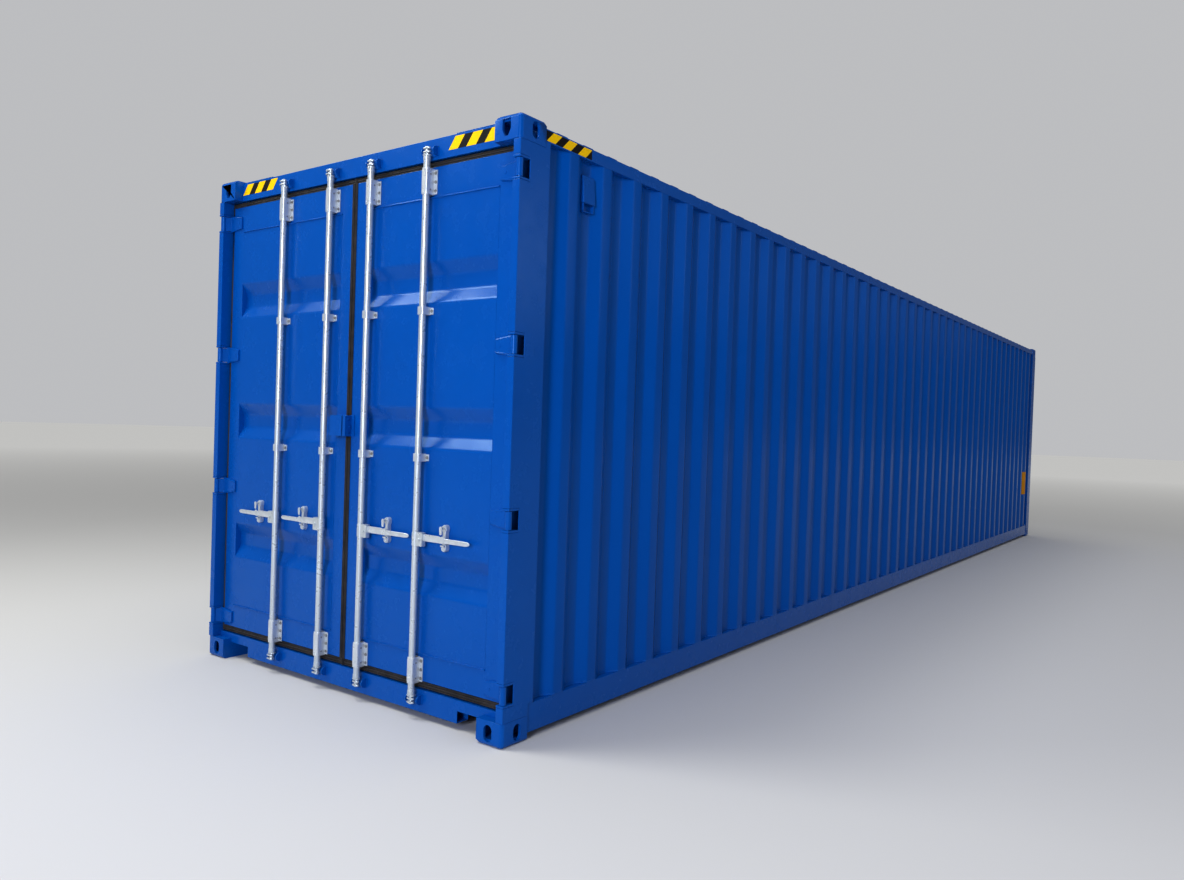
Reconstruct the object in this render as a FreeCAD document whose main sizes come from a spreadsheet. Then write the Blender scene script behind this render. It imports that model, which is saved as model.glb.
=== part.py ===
"""A 40-foot high-cube shipping container with two hinged door leaves.

Frame: +X runs along the length towards the closed front end, +Y to the left side
seen from the doors, +Z up. The origin is on the ground under the box's centre.
All sizes are millimetres. The doors stand at the -X end.
"""
import FreeCAD, Part
import math
import os
import re
import Sketcher
from FreeCAD import Vector

DIMENSIONS = {
    # Outside envelope and the eight corner castings.
    "box_length": 12192, "box_width": 2438, "box_height": 2896,
    "casting_long": 178, "casting_wide": 162, "casting_high": 118,
    "casting_plate": 28, "casting_wall": 14,
    "aperture_end_gap": 103.5, "aperture_side_gap": 89.5,
    "aperture_long": 124, "aperture_wide": 63.5,
    "hole_wide": 51, "hole_high": 79, "hole_level": 58.5,
    "shield_shoulder": 10, "shield_tip_half": 10,
    # Corner posts.
    "post_face": 44, "door_post_side": 212, "front_post_side": 196, "post_sheet": 6,
    # Side rails.
    "rail_set_in": 5, "foot_rail_low": 34, "foot_rail_top": 172, "foot_rail_sheet": 4.5,
    "foot_rail_lip": 30, "foot_rail_flange": 48, "head_rail_side": 60, "head_rail_sheet": 3,
    "head_rail_drop": 28,
    # Door-end header and sill.
    "header_set_in": 52, "header_depth": 80, "header_top_drop": 12, "header_sheet": 4,
    "sill_low": 34, "sill_top": 147, "notch_wide": 177, "notch_roof": 94, "sill_web_inset": 90,
    # Front-end header and sill.
    "front_set_in": 6, "front_rail_deep": 60, "tunnel_clear": 122,
    # Under-structure and floor.
    "floor_top": 170, "floor_thick": 28, "cross_low": 34, "cross_flange": 45, "cross_sheet": 4,
    "cross_pitch": 300, "tunnel_long": 3200, "tunnel_wide": 1029, "tunnel_sheet": 4,
    "floor_edge_gap": 2,
    # Corrugated sheets.
    "side_pitch": 278, "side_crest": 72, "side_trough": 70, "side_depth": 36, "side_set_in": 6,
    "front_pitch": 250, "front_crest": 110, "front_trough": 104, "front_depth": 45.6,
    "roof_pitch": 209, "roof_crest": 91, "roof_trough": 91, "roof_depth": 20, "roof_edge": 40,
    "wall_sheet": 2, "roof_sheet": 2, "end_plate": 3, "corner_plate": 4, "corner_plate_long": 300,
    # Door leaves.
    "leaf_set_in": 58, "leaf_thick": 50, "leaf_half_gap": 8, "leaf_jamb_gap": 27,
    "leaf_foot_gap": 42, "leaf_head_gap": 33, "stile_wide": 100, "stile_sheet": 3.2,
    "leaf_head_rail": 150, "leaf_foot_rail": 136, "leaf_rail_sheet": 4,
    "trough_pitch": 726, "trough_flat": 75, "trough_slope": 64, "trough_depth": 36,
    "trough_lift": -9, "leaf_sheet": 2,
    # Door seal.
    "seal_clear": 5, "seal_thick": 35, "seal_lip": 3, "seal_cover": 20, "seal_cover_thick": 3,
    "seal_lip_thick": 12, "seal_back": 8,
    # Hinges.
    "pin_inset": 18, "pin_radius": 9, "pin_clearance": 0.1, "knuckle_radius": 16,
    "knuckle_flank": 15.2, "knuckle_rise": 4, "knuckle_heel": 19.2, "blade_root": 32,
    "hinge_foot": 56, "hinge_head": 95, "blade_high": 84, "blade_tip_high": 54, "blade_thick": 10,
    "blade_reach": 143, "lug_gap": 2, "lug_thick": 12, "hinge_pocket": 70,
    # Locking bars.
    "bar_inset": 20, "bar_radius": 17, "bar_inner": 167.5, "bar_outer": 589,
    "bar_foot_reach": 70, "bar_head_reach": 62, "bar_clearance": 0.1, "bearing_radius": 19.5,
    "bearing_foot_over": 8, "bearing_high": 130, "bearing_head_over": 11, "plate_half": 40,
    "plate_thick": 6, "plate_less": 10, "guide_high": 40, "guide_low": 1305, "guide_pitch": 727,
    "cam_half": 22, "cam_deep": 20, "cam_high": 28, "cam_inset": 6, "keeper_gap": 14,
    "keeper_thick": 8, "keeper_high": 46, "keeper_front": 16,
    # Handles, their retainers and catches.
    "handle_level": 912, "handle_high": 35, "handle_thick": 8, "handle_inset": 18,
    "handle_reach": 367, "hub_reach": 57, "hub_high": 70, "hub_deep": 28, "hub_drop": 10,
    "retainer_reach": 185, "retainer_half": 16, "retainer_deep": 26, "retainer_low": 853, "retainer_top": 986,
    "shelf_gap": 6, "shelf_thick": 10, "shelf_half": 16, "catch_level": 970, "catch_half": 9,
    "catch_drop": 34, "catch_thick": 5, "rivet_radius": 5, "catch_front": 7.5,
    # Lock box on the meeting stiles.
    "lock_low": 1390, "lock_high": 112, "lock_left": 105, "lock_right": 27, "lock_flange": 20, "lock_inset": 10,
    "lock_sheet": 4, "lock_gap": 3.5,
    # Ventilator in a wall trough.
    "vent_low_drop": 341, "vent_high": 180, "vent_back": 68, "vent_wide": 98, "vent_flare": 8,
    "vent_deep": 30,
}

doc = FreeCAD.newDocument("shipping_container")
sheet = doc.addObject("Spreadsheet::Sheet", "dims")
for row, (alias, number) in enumerate(DIMENSIONS.items(), start=1):
    sheet.set("A%d" % row, alias)
    sheet.set("B%d" % row, str(number))
    sheet.setAlias("B%d" % row, alias)
doc.recompute()


def size(alias):
    """The number that the sheet holds under an alias."""
    return float(sheet.get(alias))


def bind(thing, prop, words):
    """Tie a property to a formula written with the sheet's aliases."""
    thing.setExpression(prop, re.sub(r"[a-z][a-z_]+", lambda m: "dims." + m.group(0), words))


# Planes and levels that several pieces share, as formulas.
END = "box_length/2"
SIDE = "box_width/2"
CASTING_END = "(box_length/2 - casting_long)"
CASTING_SIDE = "(box_width/2 - casting_wide)"
RAIL_FACE = "(box_width/2 - rail_set_in)"
HEAD_RAIL_TOP = "(box_height - head_rail_drop)"
HEAD_RAIL_LOW = "(box_height - head_rail_drop - head_rail_side)"
HEADER_LOW = "(box_height - casting_high)"
HEADER_TOP = "(box_height - header_top_drop)"
HEADER_FACE = "(-box_length/2 + header_set_in)"
CROSS_TOP = "(floor_top - floor_thick)"
FRONT_INNER = "(box_length/2 - front_set_in - front_rail_deep)"
FRONT_FACE = "(box_length/2 - front_set_in)"
TUNNEL_BACK = "(box_length/2 - front_set_in - front_rail_deep - tunnel_long)"
JAMB = "(box_width/2 - post_face)"
LEAF_FACE = "(-box_length/2 + leaf_set_in)"
LEAF_OUTER = "(box_width/2 - post_face - leaf_jamb_gap)"
LEAF_LOW = "(sill_top + leaf_foot_gap)"
LEAF_TOP = "(box_height - casting_high - leaf_head_gap)"
BAR_X = "(-box_length/2 + bar_inset)"
PIN_X = "(-box_length/2 + pin_inset)"
PIN_Y = "(box_width/2 - pin_inset)"
HANDLE_X = "(-box_length/2 + handle_inset)"
CATCH_X = "(-box_length/2 + catch_front)"
PLATE_X = "(-box_length/2 + leaf_set_in - plate_thick)"
RETAINER_X = "(-box_length/2 + leaf_set_in - retainer_deep)"
HEADER_BACK = "(-box_length/2 + header_set_in + header_depth)"


# Helpers: one document object each, tied to the sheet ------------------------------------
def placed(thing, x, y, z):
    bind(thing, "Placement.Base.x", x)
    bind(thing, "Placement.Base.y", y)
    bind(thing, "Placement.Base.z", z)
    return thing


def box(label, x, y, z, dx, dy, dz):
    thing = doc.addObject("Part::Box", label)
    bind(thing, "Length", dx)
    bind(thing, "Width", dy)
    bind(thing, "Height", dz)
    return placed(thing, x, y, z)


def rod(label, x, y, z, radius, long, axis="z"):
    thing = doc.addObject("Part::Cylinder", label)
    bind(thing, "Radius", radius)
    bind(thing, "Height", long)
    turn = {"z": (Vector(0, 0, 1), 0), "x": (Vector(0, 1, 0), 90), "y": (Vector(1, 0, 0), -90)}
    thing.Placement = FreeCAD.Placement(Vector(), FreeCAD.Rotation(*turn[axis]))
    return placed(thing, x, y, z)


def fuse(label, *things):
    thing = doc.addObject("Part::MultiFuse", label)
    thing.Shapes = list(things)
    return thing


def cut(label, base, *tools):
    thing = doc.addObject("Part::Cut", label)
    thing.Base = base
    thing.Tool = tools[0] if len(tools) == 1 else fuse(label + "_tools", *tools)
    return thing


def common(label, first, second):
    thing = doc.addObject("Part::Common", label)
    thing.Base = first
    thing.Tool = second
    return thing


def mirrored(label, source, axis, through="0"):
    thing = doc.addObject("Part::Mirroring", label)
    thing.Source = source
    thing.Normal = {"x": Vector(1, 0, 0), "y": Vector(0, 1, 0), "z": Vector(0, 0, 1)}[axis]
    bind(thing, "Base." + axis, through)
    return thing


def drawn(label, plane, outline, start, depth):
    """A body padded from a sketch: outline is a list of (across, up) formulas.

    plane XY pads along +Z, YZ along +X, and XZ along -Y, from start.
    """
    body = doc.addObject("PartDesign::Body", label)
    sketch = body.newObject("Sketcher::SketchObject", label + "_outline")
    origin_plane = [f for f in body.Origin.OriginFeatures if f.Role == plane + "_Plane"][0]
    sketch.AttachmentSupport = (origin_plane, [""])
    sketch.MapMode = "FlatFace"
    bind(sketch, "AttachmentOffset.Base.z", start)
    count = len(outline)
    ring = [Vector(math.cos(math.tau * i / count), math.sin(math.tau * i / count), 0) * 100
            for i in range(count)]
    for i in range(count):
        sketch.addGeometry(Part.LineSegment(ring[i], ring[(i + 1) % count]), False)
    for i in range(count):
        sketch.addConstraint(Sketcher.Constraint("Coincident", i, 2, (i + 1) % count, 1))
    for i, (across, up) in enumerate(outline):
        for kind, start_value, words in (("DistanceX", ring[i].x, across),
                                         ("DistanceY", ring[i].y, up)):
            number = sketch.addConstraint(Sketcher.Constraint(kind, -1, 1, i, 1, start_value))
            bind(sketch, "Constraints[%d]" % number, words)
    pad = body.newObject("PartDesign::Pad", label + "_pad")
    pad.Profile = sketch
    bind(pad, "Length", depth)
    return body


def shaped(label, shape):
    """A feature whose outline follows a formula."""
    thing = doc.addObject("Part::Feature", label)
    thing.Shape = shape
    return thing


def wave(low, high, pitch, crest, trough, depth):
    """Corners of a trapezoid wave from low to high, troughs at both ends.

    Each corner is (along, height), the height 0 in a trough and depth on a crest.
    """
    slope = (pitch - crest - trough) / 2
    bays = int((high - low - trough) // pitch)
    start = low + (high - low - trough - bays * pitch) / 2
    corners = [(low, 0)]
    for bay in range(bays):
        foot = start + trough + bay * pitch
        corners += [(foot, 0), (foot + slope, depth),
                    (foot + slope + crest, depth), (foot + 2 * slope + crest, 0)]
    return corners + [(high, 0)]


def trough_centres(low, high, pitch, crest, trough):
    slope = (pitch - crest - trough) / 2
    bays = int((high - low - trough) // pitch)
    start = low + (high - low - trough - bays * pitch) / 2
    return [start + trough / 2 + bay * pitch for bay in range(bays + 1)]


def prism(points, along):
    return Part.Face(Part.makePolygon(points + points[:1])).extrude(along)


parts = {}


def keep(name, thing):
    """Register a finished sub-part under its node name."""
    thing.Label = name
    parts[name] = thing
    return thing


# Corner castings ---------------------------------------------------------------------------
def slot_tool(label, axis, centre, wide, long, deep):
    """A round-ended slot: its long way is X for a Z slot, and Z for an X or Y slot."""
    x, y, z = centre
    reach = "((%s) - (%s))/2" % (long, wide)
    half = "(%s)/2" % wide
    middle = "((%s) - (%s))" % (long, wide)
    if axis == "z":
        return fuse(label,
                    rod(label + "_a", "%s - %s" % (x, reach), y, z, half, deep),
                    rod(label + "_b", "%s + %s" % (x, reach), y, z, half, deep),
                    box(label + "_c", "%s - %s" % (x, reach), "%s - %s" % (y, half), z,
                        middle, wide, deep))
    if axis == "x":
        block = box(label + "_c", x, "%s - %s" % (y, half), "%s - %s" % (z, reach),
                    deep, wide, middle)
    else:
        block = box(label + "_c", "%s - %s" % (x, half), y, "%s - %s" % (z, reach),
                    wide, deep, middle)
    return fuse(label, rod(label + "_a", x, y, "%s - %s" % (z, reach), half, deep, axis),
                rod(label + "_b", x, y, "%s + %s" % (z, reach), half, deep, axis), block)


def casting(label, shield):
    """The door-end casting on the +Y side, at ground level, with its three apertures."""
    block = box(label + "_block", "-" + END, CASTING_SIDE, "0",
                "casting_long", "casting_wide", "casting_high")
    hollow = box(label + "_hollow", "-%s + casting_wall" % END, "%s + casting_wall" % CASTING_SIDE,
                 "casting_plate", "casting_long - 2*casting_wall",
                 "casting_wide - 2*casting_wall", "casting_high - casting_plate - casting_wall")
    middle = "hole_level"
    end_y = "%s - aperture_side_gap" % SIDE
    end_x = "-%s + aperture_end_gap" % END
    bottom = slot_tool(label + "_lock", "z", (end_x, end_y, "0"),
                       "aperture_wide", "aperture_long", "casting_plate + 1")
    if shield:
        half = "hole_wide/2"
        level = "(%s)" % middle
        end_hole = drawn(label + "_shield", "YZ", [
            ("%s - %s" % (end_y, half), "%s - hole_high/2" % level),
            ("%s + %s" % (end_y, half), "%s - hole_high/2" % level),
            ("%s + %s" % (end_y, half), "%s + shield_shoulder" % level),
            ("%s + shield_tip_half" % end_y, "%s + hole_high/2" % level),
            ("%s - shield_tip_half" % end_y, "%s + hole_high/2" % level),
            ("%s - %s" % (end_y, half), "%s + shield_shoulder" % level),
        ], "-" + END, "casting_wall + 1")
    else:
        end_hole = slot_tool(label + "_end", "x", ("-" + END, end_y, middle),
                             "hole_wide", "hole_high", "casting_wall + 1")
    side_hole = slot_tool(label + "_side", "y",
                          (end_x, "%s - casting_wall - 1" % SIDE, middle),
                          "hole_wide", "hole_high", "casting_wall + 1")
    return cut(label, block, hollow, bottom, end_hole, side_hole)


foot_casting = casting("foot_casting", False)
head_casting = mirrored("head_casting", casting("head_casting_low", True), "z", "box_height/2")
for name, one in (("castings_bottom", foot_casting), ("castings_top", head_casting)):
    other = mirrored(name + "_right", one, "y")
    keep(name, fuse(name, one, other, mirrored(name + "_front_left", one, "x"),
                    mirrored(name + "_front_right", other, "x")))


# Hinge positions ---------------------------------------------------------------------------
HINGE_LOW = "(sill_top + leaf_foot_gap + hinge_foot)"
HINGE_STEP = ("((box_height - casting_high - leaf_head_gap - hinge_head"
              " - sill_top - leaf_foot_gap - hinge_foot)/3)")
HINGE_LEVELS = ["(%s + %d*%s)" % (HINGE_LOW, i, HINGE_STEP) for i in range(4)]
LUG_TOP = "(blade_high/2 + lug_gap + lug_thick)"


# Corner posts ------------------------------------------------------------------------------
def door_post():
    """The hollow door post with its hinge pockets, cut back round the castings, on the +Y side."""
    long = "box_height - casting_high - head_rail_drop - head_rail_side"
    shell = box("post_shell", "-" + END, JAMB, "casting_high",
                "door_post_side", "post_face",
                "box_height - head_rail_drop - head_rail_side - casting_high")
    bore = box("post_bore", "-%s + post_sheet" % END, "%s + post_sheet" % JAMB, "casting_high",
               "door_post_side - 2*post_sheet", "post_face - 2*post_sheet", long)
    foot = box("post_foot", "-" + CASTING_END, JAMB, "casting_high",
               "door_post_side - casting_long", "post_face", "foot_rail_top - casting_high")
    head = box("post_head", "-" + END, JAMB, HEADER_LOW,
               "casting_long", "post_face", "casting_high")
    pockets = [box("hinge_pocket_%d" % i, "-" + END, JAMB, "%s - %s" % (level, LUG_TOP),
                   "hinge_pocket", "post_face", "2*%s" % LUG_TOP)
               for i, level in enumerate(HINGE_LEVELS)]
    return cut("door_post", shell, bore, foot, head, *pockets)


left_post = door_post()
keep("door_posts", fuse("door_posts", left_post, mirrored("door_post_right", left_post, "y")))


def front_post():
    """The pressed angle at the closed end, with a lip for each corrugated sheet."""
    inner_x = "(box_length/2 - front_post_side)"
    lip_x = "(box_length/2 - front_set_in - wall_sheet - front_depth)"
    outline = [
        (END, SIDE), (inner_x, SIDE), (inner_x, JAMB),
        ("%s + post_sheet" % inner_x, JAMB),
        ("%s + post_sheet" % inner_x, "%s - post_sheet" % SIDE),
        ("%s - post_sheet" % END, "%s - post_sheet" % SIDE),
        ("%s - post_sheet" % END, "%s + post_sheet" % CASTING_SIDE),
        ("%s" % lip_x, "%s + post_sheet" % CASTING_SIDE),
        ("%s" % lip_x, CASTING_SIDE), (END, CASTING_SIDE),
    ]
    long = "box_height - head_rail_drop - head_rail_side - casting_high"
    shell = drawn("front_post_shell", "XY", outline, "casting_high", long)
    foot = box("front_post_foot", inner_x, CASTING_SIDE, "casting_high",
               "front_post_side - casting_long", "casting_wide", "foot_rail_top - casting_high")
    head = box("front_post_head", CASTING_END, CASTING_SIDE, HEADER_LOW,
               "casting_long", "casting_wide", "casting_high")
    return cut("front_post", shell, foot, head)


left_front_post = front_post()
keep("front_posts", fuse("front_posts", left_front_post,
                         mirrored("front_post_right", left_front_post, "y")))


# Side rails --------------------------------------------------------------------------------
def both_sides(name, thing):
    return keep(name, fuse(name, thing, mirrored(name + "_right", thing, "y")))


both_sides("bottom_side_rails", drawn("bottom_side_rail", "YZ", [
    (RAIL_FACE, "foot_rail_low"), (RAIL_FACE, "foot_rail_top"),
    ("%s - foot_rail_flange" % RAIL_FACE, "foot_rail_top"),
    ("%s - foot_rail_flange" % RAIL_FACE, "foot_rail_top - foot_rail_sheet"),
    ("%s - foot_rail_sheet" % RAIL_FACE, "foot_rail_top - foot_rail_sheet"),
    ("%s - foot_rail_sheet" % RAIL_FACE, "foot_rail_low + foot_rail_sheet"),
    ("%s - foot_rail_lip" % RAIL_FACE, "foot_rail_low + foot_rail_sheet"),
    ("%s - foot_rail_lip" % RAIL_FACE, "foot_rail_low"),
], "-" + CASTING_END, "2*" + CASTING_END))

RAIL_INNER = "%s - head_rail_side" % RAIL_FACE
both_sides("top_side_rails", cut(
    "top_side_rail",
    box("top_rail_outer", "-" + CASTING_END, RAIL_INNER, HEAD_RAIL_LOW,
        "2*" + CASTING_END, "head_rail_side", "head_rail_side"),
    box("top_rail_bore", "-" + CASTING_END, "%s + head_rail_sheet" % RAIL_INNER,
        "%s + head_rail_sheet" % HEAD_RAIL_LOW, "2*" + CASTING_END,
        "head_rail_side - 2*head_rail_sheet", "head_rail_side - 2*head_rail_sheet")))


# Header and sill of the door end -------------------------------------------------------------
keep("door_header", cut(
    "door_header",
    box("header_outer", HEADER_FACE, "-" + CASTING_SIDE, HEADER_LOW,
        "header_depth", "2*" + CASTING_SIDE, "casting_high - header_top_drop"),
    box("header_bore", "%s + header_sheet" % HEADER_FACE, "-" + CASTING_SIDE,
        "%s + header_sheet" % HEADER_LOW, "header_depth - 2*header_sheet",
        "2*" + CASTING_SIDE, "casting_high - header_top_drop - 2*header_sheet")))

SILL_MID = "(box_width/2 - casting_wide - notch_wide)"
sill_body = cut(
    "sill_body",
    box("sill_outer", HEADER_FACE, "-" + SILL_MID, "sill_low",
        "header_depth", "2*" + SILL_MID, "sill_top - sill_low"),
    box("sill_bore", "%s + header_sheet" % HEADER_FACE, "-" + SILL_MID,
        "sill_low + header_sheet", "header_depth - 2*header_sheet", "2*" + SILL_MID,
        "sill_top - sill_low - 2*header_sheet"))
sill_arm = box("sill_arm", HEADER_FACE, SILL_MID, "notch_roof",
               "header_depth", "notch_wide", "sill_top - notch_roof")
sill_arm_bore = box("sill_arm_bore", "%s + header_sheet" % HEADER_FACE,
                    SILL_MID, "notch_roof + header_sheet",
                    "header_depth - 2*header_sheet", "notch_wide",
                    "sill_top - notch_roof - 2*header_sheet")
sill_web = box("sill_web", HEADER_FACE, "%s - sill_web_inset" % SILL_MID, "sill_low",
               "header_depth", "header_sheet", "sill_top - sill_low")
sill_cap = box("sill_cap", HEADER_FACE, CASTING_SIDE, "casting_high",
               "header_depth", "casting_wide - post_face", "sill_top - casting_high")
sill_wing = fuse("sill_wing", cut("sill_arm_shell", sill_arm, sill_arm_bore),
                 sill_web, sill_cap)
keep("door_sill", fuse("door_sill", sill_body, sill_wing,
                       mirrored("sill_wing_right", sill_wing, "y")))


# Header and sill of the closed end -----------------------------------------------------------
def front_tube(label, low, top):
    outer = box(label + "_outer", FRONT_INNER, "-" + CASTING_SIDE, low, "front_rail_deep",
                "2*" + CASTING_SIDE, "(%s) - (%s)" % (top, low))
    bore = box(label + "_bore", "%s + header_sheet" % FRONT_INNER, "-" + CASTING_SIDE,
               "%s + header_sheet" % low, "front_rail_deep - 2*header_sheet",
               "2*" + CASTING_SIDE, "(%s) - (%s) - 2*header_sheet" % (top, low))
    return cut(label, outer, bore)


keep("front_header", front_tube("front_header", HEAD_RAIL_LOW, HEAD_RAIL_TOP))
apron = box("front_apron", "%s - post_sheet" % FRONT_FACE, "tunnel_wide/2", "cross_low",
            "post_sheet", "%s - tunnel_wide/2" % CASTING_SIDE, "tunnel_clear - cross_low")
keep("front_sill", fuse("front_sill", front_tube("front_sill_tube", "tunnel_clear", "foot_rail_top"),
                        apron, mirrored("front_apron_right", apron, "y")))


# Gooseneck tunnel, cross members and floor -----------------------------------------------------
TUNNEL_HALF = "tunnel_wide/2"
keep("gooseneck_tunnel", drawn("gooseneck_tunnel", "YZ", [
    ("-%s" % TUNNEL_HALF, "cross_low"), ("-%s" % TUNNEL_HALF, "%s - tunnel_sheet" % CROSS_TOP),
    (TUNNEL_HALF, "%s - tunnel_sheet" % CROSS_TOP), (TUNNEL_HALF, "cross_low"),
    ("%s + tunnel_sheet" % TUNNEL_HALF, "cross_low"),
    ("%s + tunnel_sheet" % TUNNEL_HALF, CROSS_TOP),
    ("-%s - tunnel_sheet" % TUNNEL_HALF, CROSS_TOP),
    ("-%s - tunnel_sheet" % TUNNEL_HALF, "cross_low"),
], TUNNEL_BACK, "tunnel_long"))


def channel(x, y_low, y_high):
    """A channel laid along Y with its back towards the doors."""
    low, top = size("cross_low"), size("floor_top") - size("floor_thick")
    flange, thick = size("cross_flange"), size("cross_sheet")
    outline = [(0, low), (flange, low), (flange, low + thick), (thick, low + thick),
               (thick, top - thick), (flange, top - thick), (flange, top), (0, top)]
    return prism([Vector(x + dx, y_low, z) for dx, z in outline], Vector(0, y_high - y_low, 0))


def cross_members():
    half_length, half_width = size("box_length") / 2, size("box_width") / 2
    reach = half_width - size("rail_set_in") - size("foot_rail_lip")
    start = -half_length + size("header_set_in") + size("header_depth")
    front = half_length - size("front_set_in") - size("front_rail_deep")
    tunnel = front - size("tunnel_long")
    count = int((tunnel - start) // size("cross_pitch"))
    step = (tunnel - size("cross_flange") - start) / count
    members = [channel(start + (i + 1) * step, -reach, reach) for i in range(count)]
    web = size("tunnel_wide") / 2 + size("tunnel_sheet")
    stubs = int(size("tunnel_long") // size("cross_pitch"))
    for i in range(1, stubs):
        x = tunnel + i * size("tunnel_long") / stubs
        members += [channel(x, web, reach), channel(x, -reach, -web)]
    return Part.makeCompound(members)


keep("cross_members", shaped("cross_members", cross_members()))

FLOOR_SIDE = "(%s - foot_rail_flange - floor_edge_gap)" % RAIL_FACE
keep("floor", box("floor", HEADER_BACK, "-" + FLOOR_SIDE, CROSS_TOP,
                  "%s - %s" % (FRONT_INNER, HEADER_BACK), "2*" + FLOOR_SIDE, "floor_thick"))


# Corrugated walls and roof ---------------------------------------------------------------------
def side_span():
    half = size("box_length") / 2
    return -half + size("door_post_side"), half - size("front_post_side")


def side_wall():
    """The corrugated sheet on the +Y side, standing on its bottom rail."""
    crest = size("box_width") / 2 - size("side_set_in")
    low, high = side_span()
    corners = wave(low, high, size("side_pitch"), size("side_crest"), size("side_trough"),
                   size("side_depth"))
    floor_level = size("foot_rail_top")
    top = size("box_height") - size("head_rail_drop") - size("head_rail_side")
    outside = [Vector(x, crest - size("side_depth") + h, floor_level) for x, h in corners]
    inside = [point - Vector(0, size("wall_sheet"), 0) for point in reversed(outside)]
    return prism(outside + inside, Vector(0, 0, top - floor_level))


left_wall = shaped("left_wall_sheet", side_wall())
keep("side_wall_left", left_wall)
keep("side_wall_right", mirrored("side_wall_right", left_wall, "y"))


def front_wall():
    crest = size("box_length") / 2 - size("front_set_in") - size("wall_sheet")
    half = size("box_width") / 2 - size("casting_wide")
    corners = wave(-half, half, size("front_pitch"), size("front_crest"), size("front_trough"),
                   size("front_depth"))
    low = size("foot_rail_top")
    top = size("box_height") - size("head_rail_drop") - size("head_rail_side")
    outside = [Vector(crest - size("front_depth") + h, y, low) for y, h in corners]
    inside = [point - Vector(size("wall_sheet"), 0, 0) for point in reversed(outside)]
    return prism(outside + inside, Vector(0, 0, top - low))


keep("front_wall", shaped("front_wall", front_wall()))


def roof():
    """The roof sheet, waved along the length, its crests closed at both sides."""
    base = size("box_height") - size("head_rail_drop")
    thick = size("roof_sheet")
    half = size("box_length") / 2 - size("casting_long")
    reach = size("box_width") / 2 - size("rail_set_in") - size("roof_edge")
    corners = wave(-half, half, size("roof_pitch"), size("roof_crest"), size("roof_trough"),
                   size("roof_depth"))
    top = [(x, base + thick + h) for x, h in corners]
    under = [(x, z - thick) for x, z in reversed(top)]
    skin = prism([Vector(x, -reach, z) for x, z in top + under], Vector(0, 2 * reach, 0))
    closed = top + [(half, base), (-half, base)]
    ends = [prism([Vector(x, y, z) for x, z in closed], Vector(0, thick, 0))
            for y in (-reach - thick, reach)]
    return skin.multiFuse(ends).removeSplitter()


keep("roof", shaped("roof", roof()))

end_plates = [
    box("door_end_plate", HEADER_BACK, "-" + CASTING_SIDE, HEAD_RAIL_TOP,
        "casting_long - header_set_in - header_depth", "2*" + CASTING_SIDE, "end_plate"),
    box("front_end_plate", CASTING_END, "-" + CASTING_SIDE, HEAD_RAIL_TOP,
        "casting_long - front_set_in", "2*" + CASTING_SIDE, "end_plate")]
keep("roof_end_plates", fuse("roof_end_plates", *end_plates))
door_corner = box("door_corner_plate", HEADER_FACE, "%s - corner_plate_long" % CASTING_SIDE,
                  HEADER_TOP, "header_depth", "corner_plate_long", "corner_plate")
front_corner = box("front_corner_plate", CASTING_END, "%s - corner_plate_long" % CASTING_SIDE,
                   "%s + end_plate" % HEAD_RAIL_TOP, "casting_long - front_set_in",
                   "corner_plate_long", "corner_plate")
keep("roof_corner_plates", fuse("roof_corner_plates", door_corner, front_corner,
                                mirrored("door_corner_plate_right", door_corner, "y"),
                                mirrored("front_corner_plate_right", front_corner, "y")))


# Ventilators --------------------------------------------------------------------------------
def ventilators():
    """A covered vent in a wall trough near the doors and one at the far end, across."""
    low, high = side_span()
    centres = trough_centres(low, high, size("side_pitch"), size("side_crest"),
                             size("side_trough"))
    base = size("box_width") / 2 - size("side_set_in") - size("side_depth")
    foot = size("box_height") - size("vent_low_drop")
    back, wide = size("vent_back") / 2, size("vent_wide") / 2
    outline = [(-back, 0), (back, 0), (wide, size("vent_flare")), (wide, size("vent_deep")),
               (-wide, size("vent_deep")), (-wide, size("vent_flare"))]
    vents = []
    for centre, side in ((centres[1], -1), (centres[-2], 1)):
        corners = [Vector(centre + dx, side * (base + dy), foot) for dx, dy in outline]
        vents.append(prism(corners, Vector(0, 0, size("vent_high"))))
    return Part.makeCompound(vents)


keep("ventilators", shaped("ventilators", ventilators()))


# Hinge lugs and pins on the posts ----------------------------------------------------------------
def hinge_lugs(level, index):
    """Two lugs and the pin through them, in one pocket of the +Y post."""
    lugs = [box("lug_%d_%s" % (index, end), "-" + END, JAMB, z, "hinge_pocket", "post_face",
                "lug_thick")
            for end, z in (("low", "%s - %s" % (level, LUG_TOP)),
                           ("high", "%s + %s - lug_thick" % (level, LUG_TOP)))]
    pin = rod("hinge_pin_%d" % index, PIN_X, PIN_Y, "%s - %s" % (level, LUG_TOP),
              "pin_radius", "2*" + LUG_TOP)
    return fuse("hinge_lugs_%d" % index, pin, *lugs)


left_lugs = [hinge_lugs(level, i) for i, level in enumerate(HINGE_LEVELS)]
keep("hinge_lugs", fuse("hinge_lugs", *left_lugs, *[
    mirrored("hinge_lugs_right_%d" % i, lugs, "y") for i, lugs in enumerate(left_lugs)]))


# Cam keepers on the header and the sill ------------------------------------------------------------
BAR_LOW = "(sill_top - bar_foot_reach)"
BAR_TOP = "(box_height - casting_high + bar_head_reach)"
EAR_X = "(-box_length/2 + keeper_front)"


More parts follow.
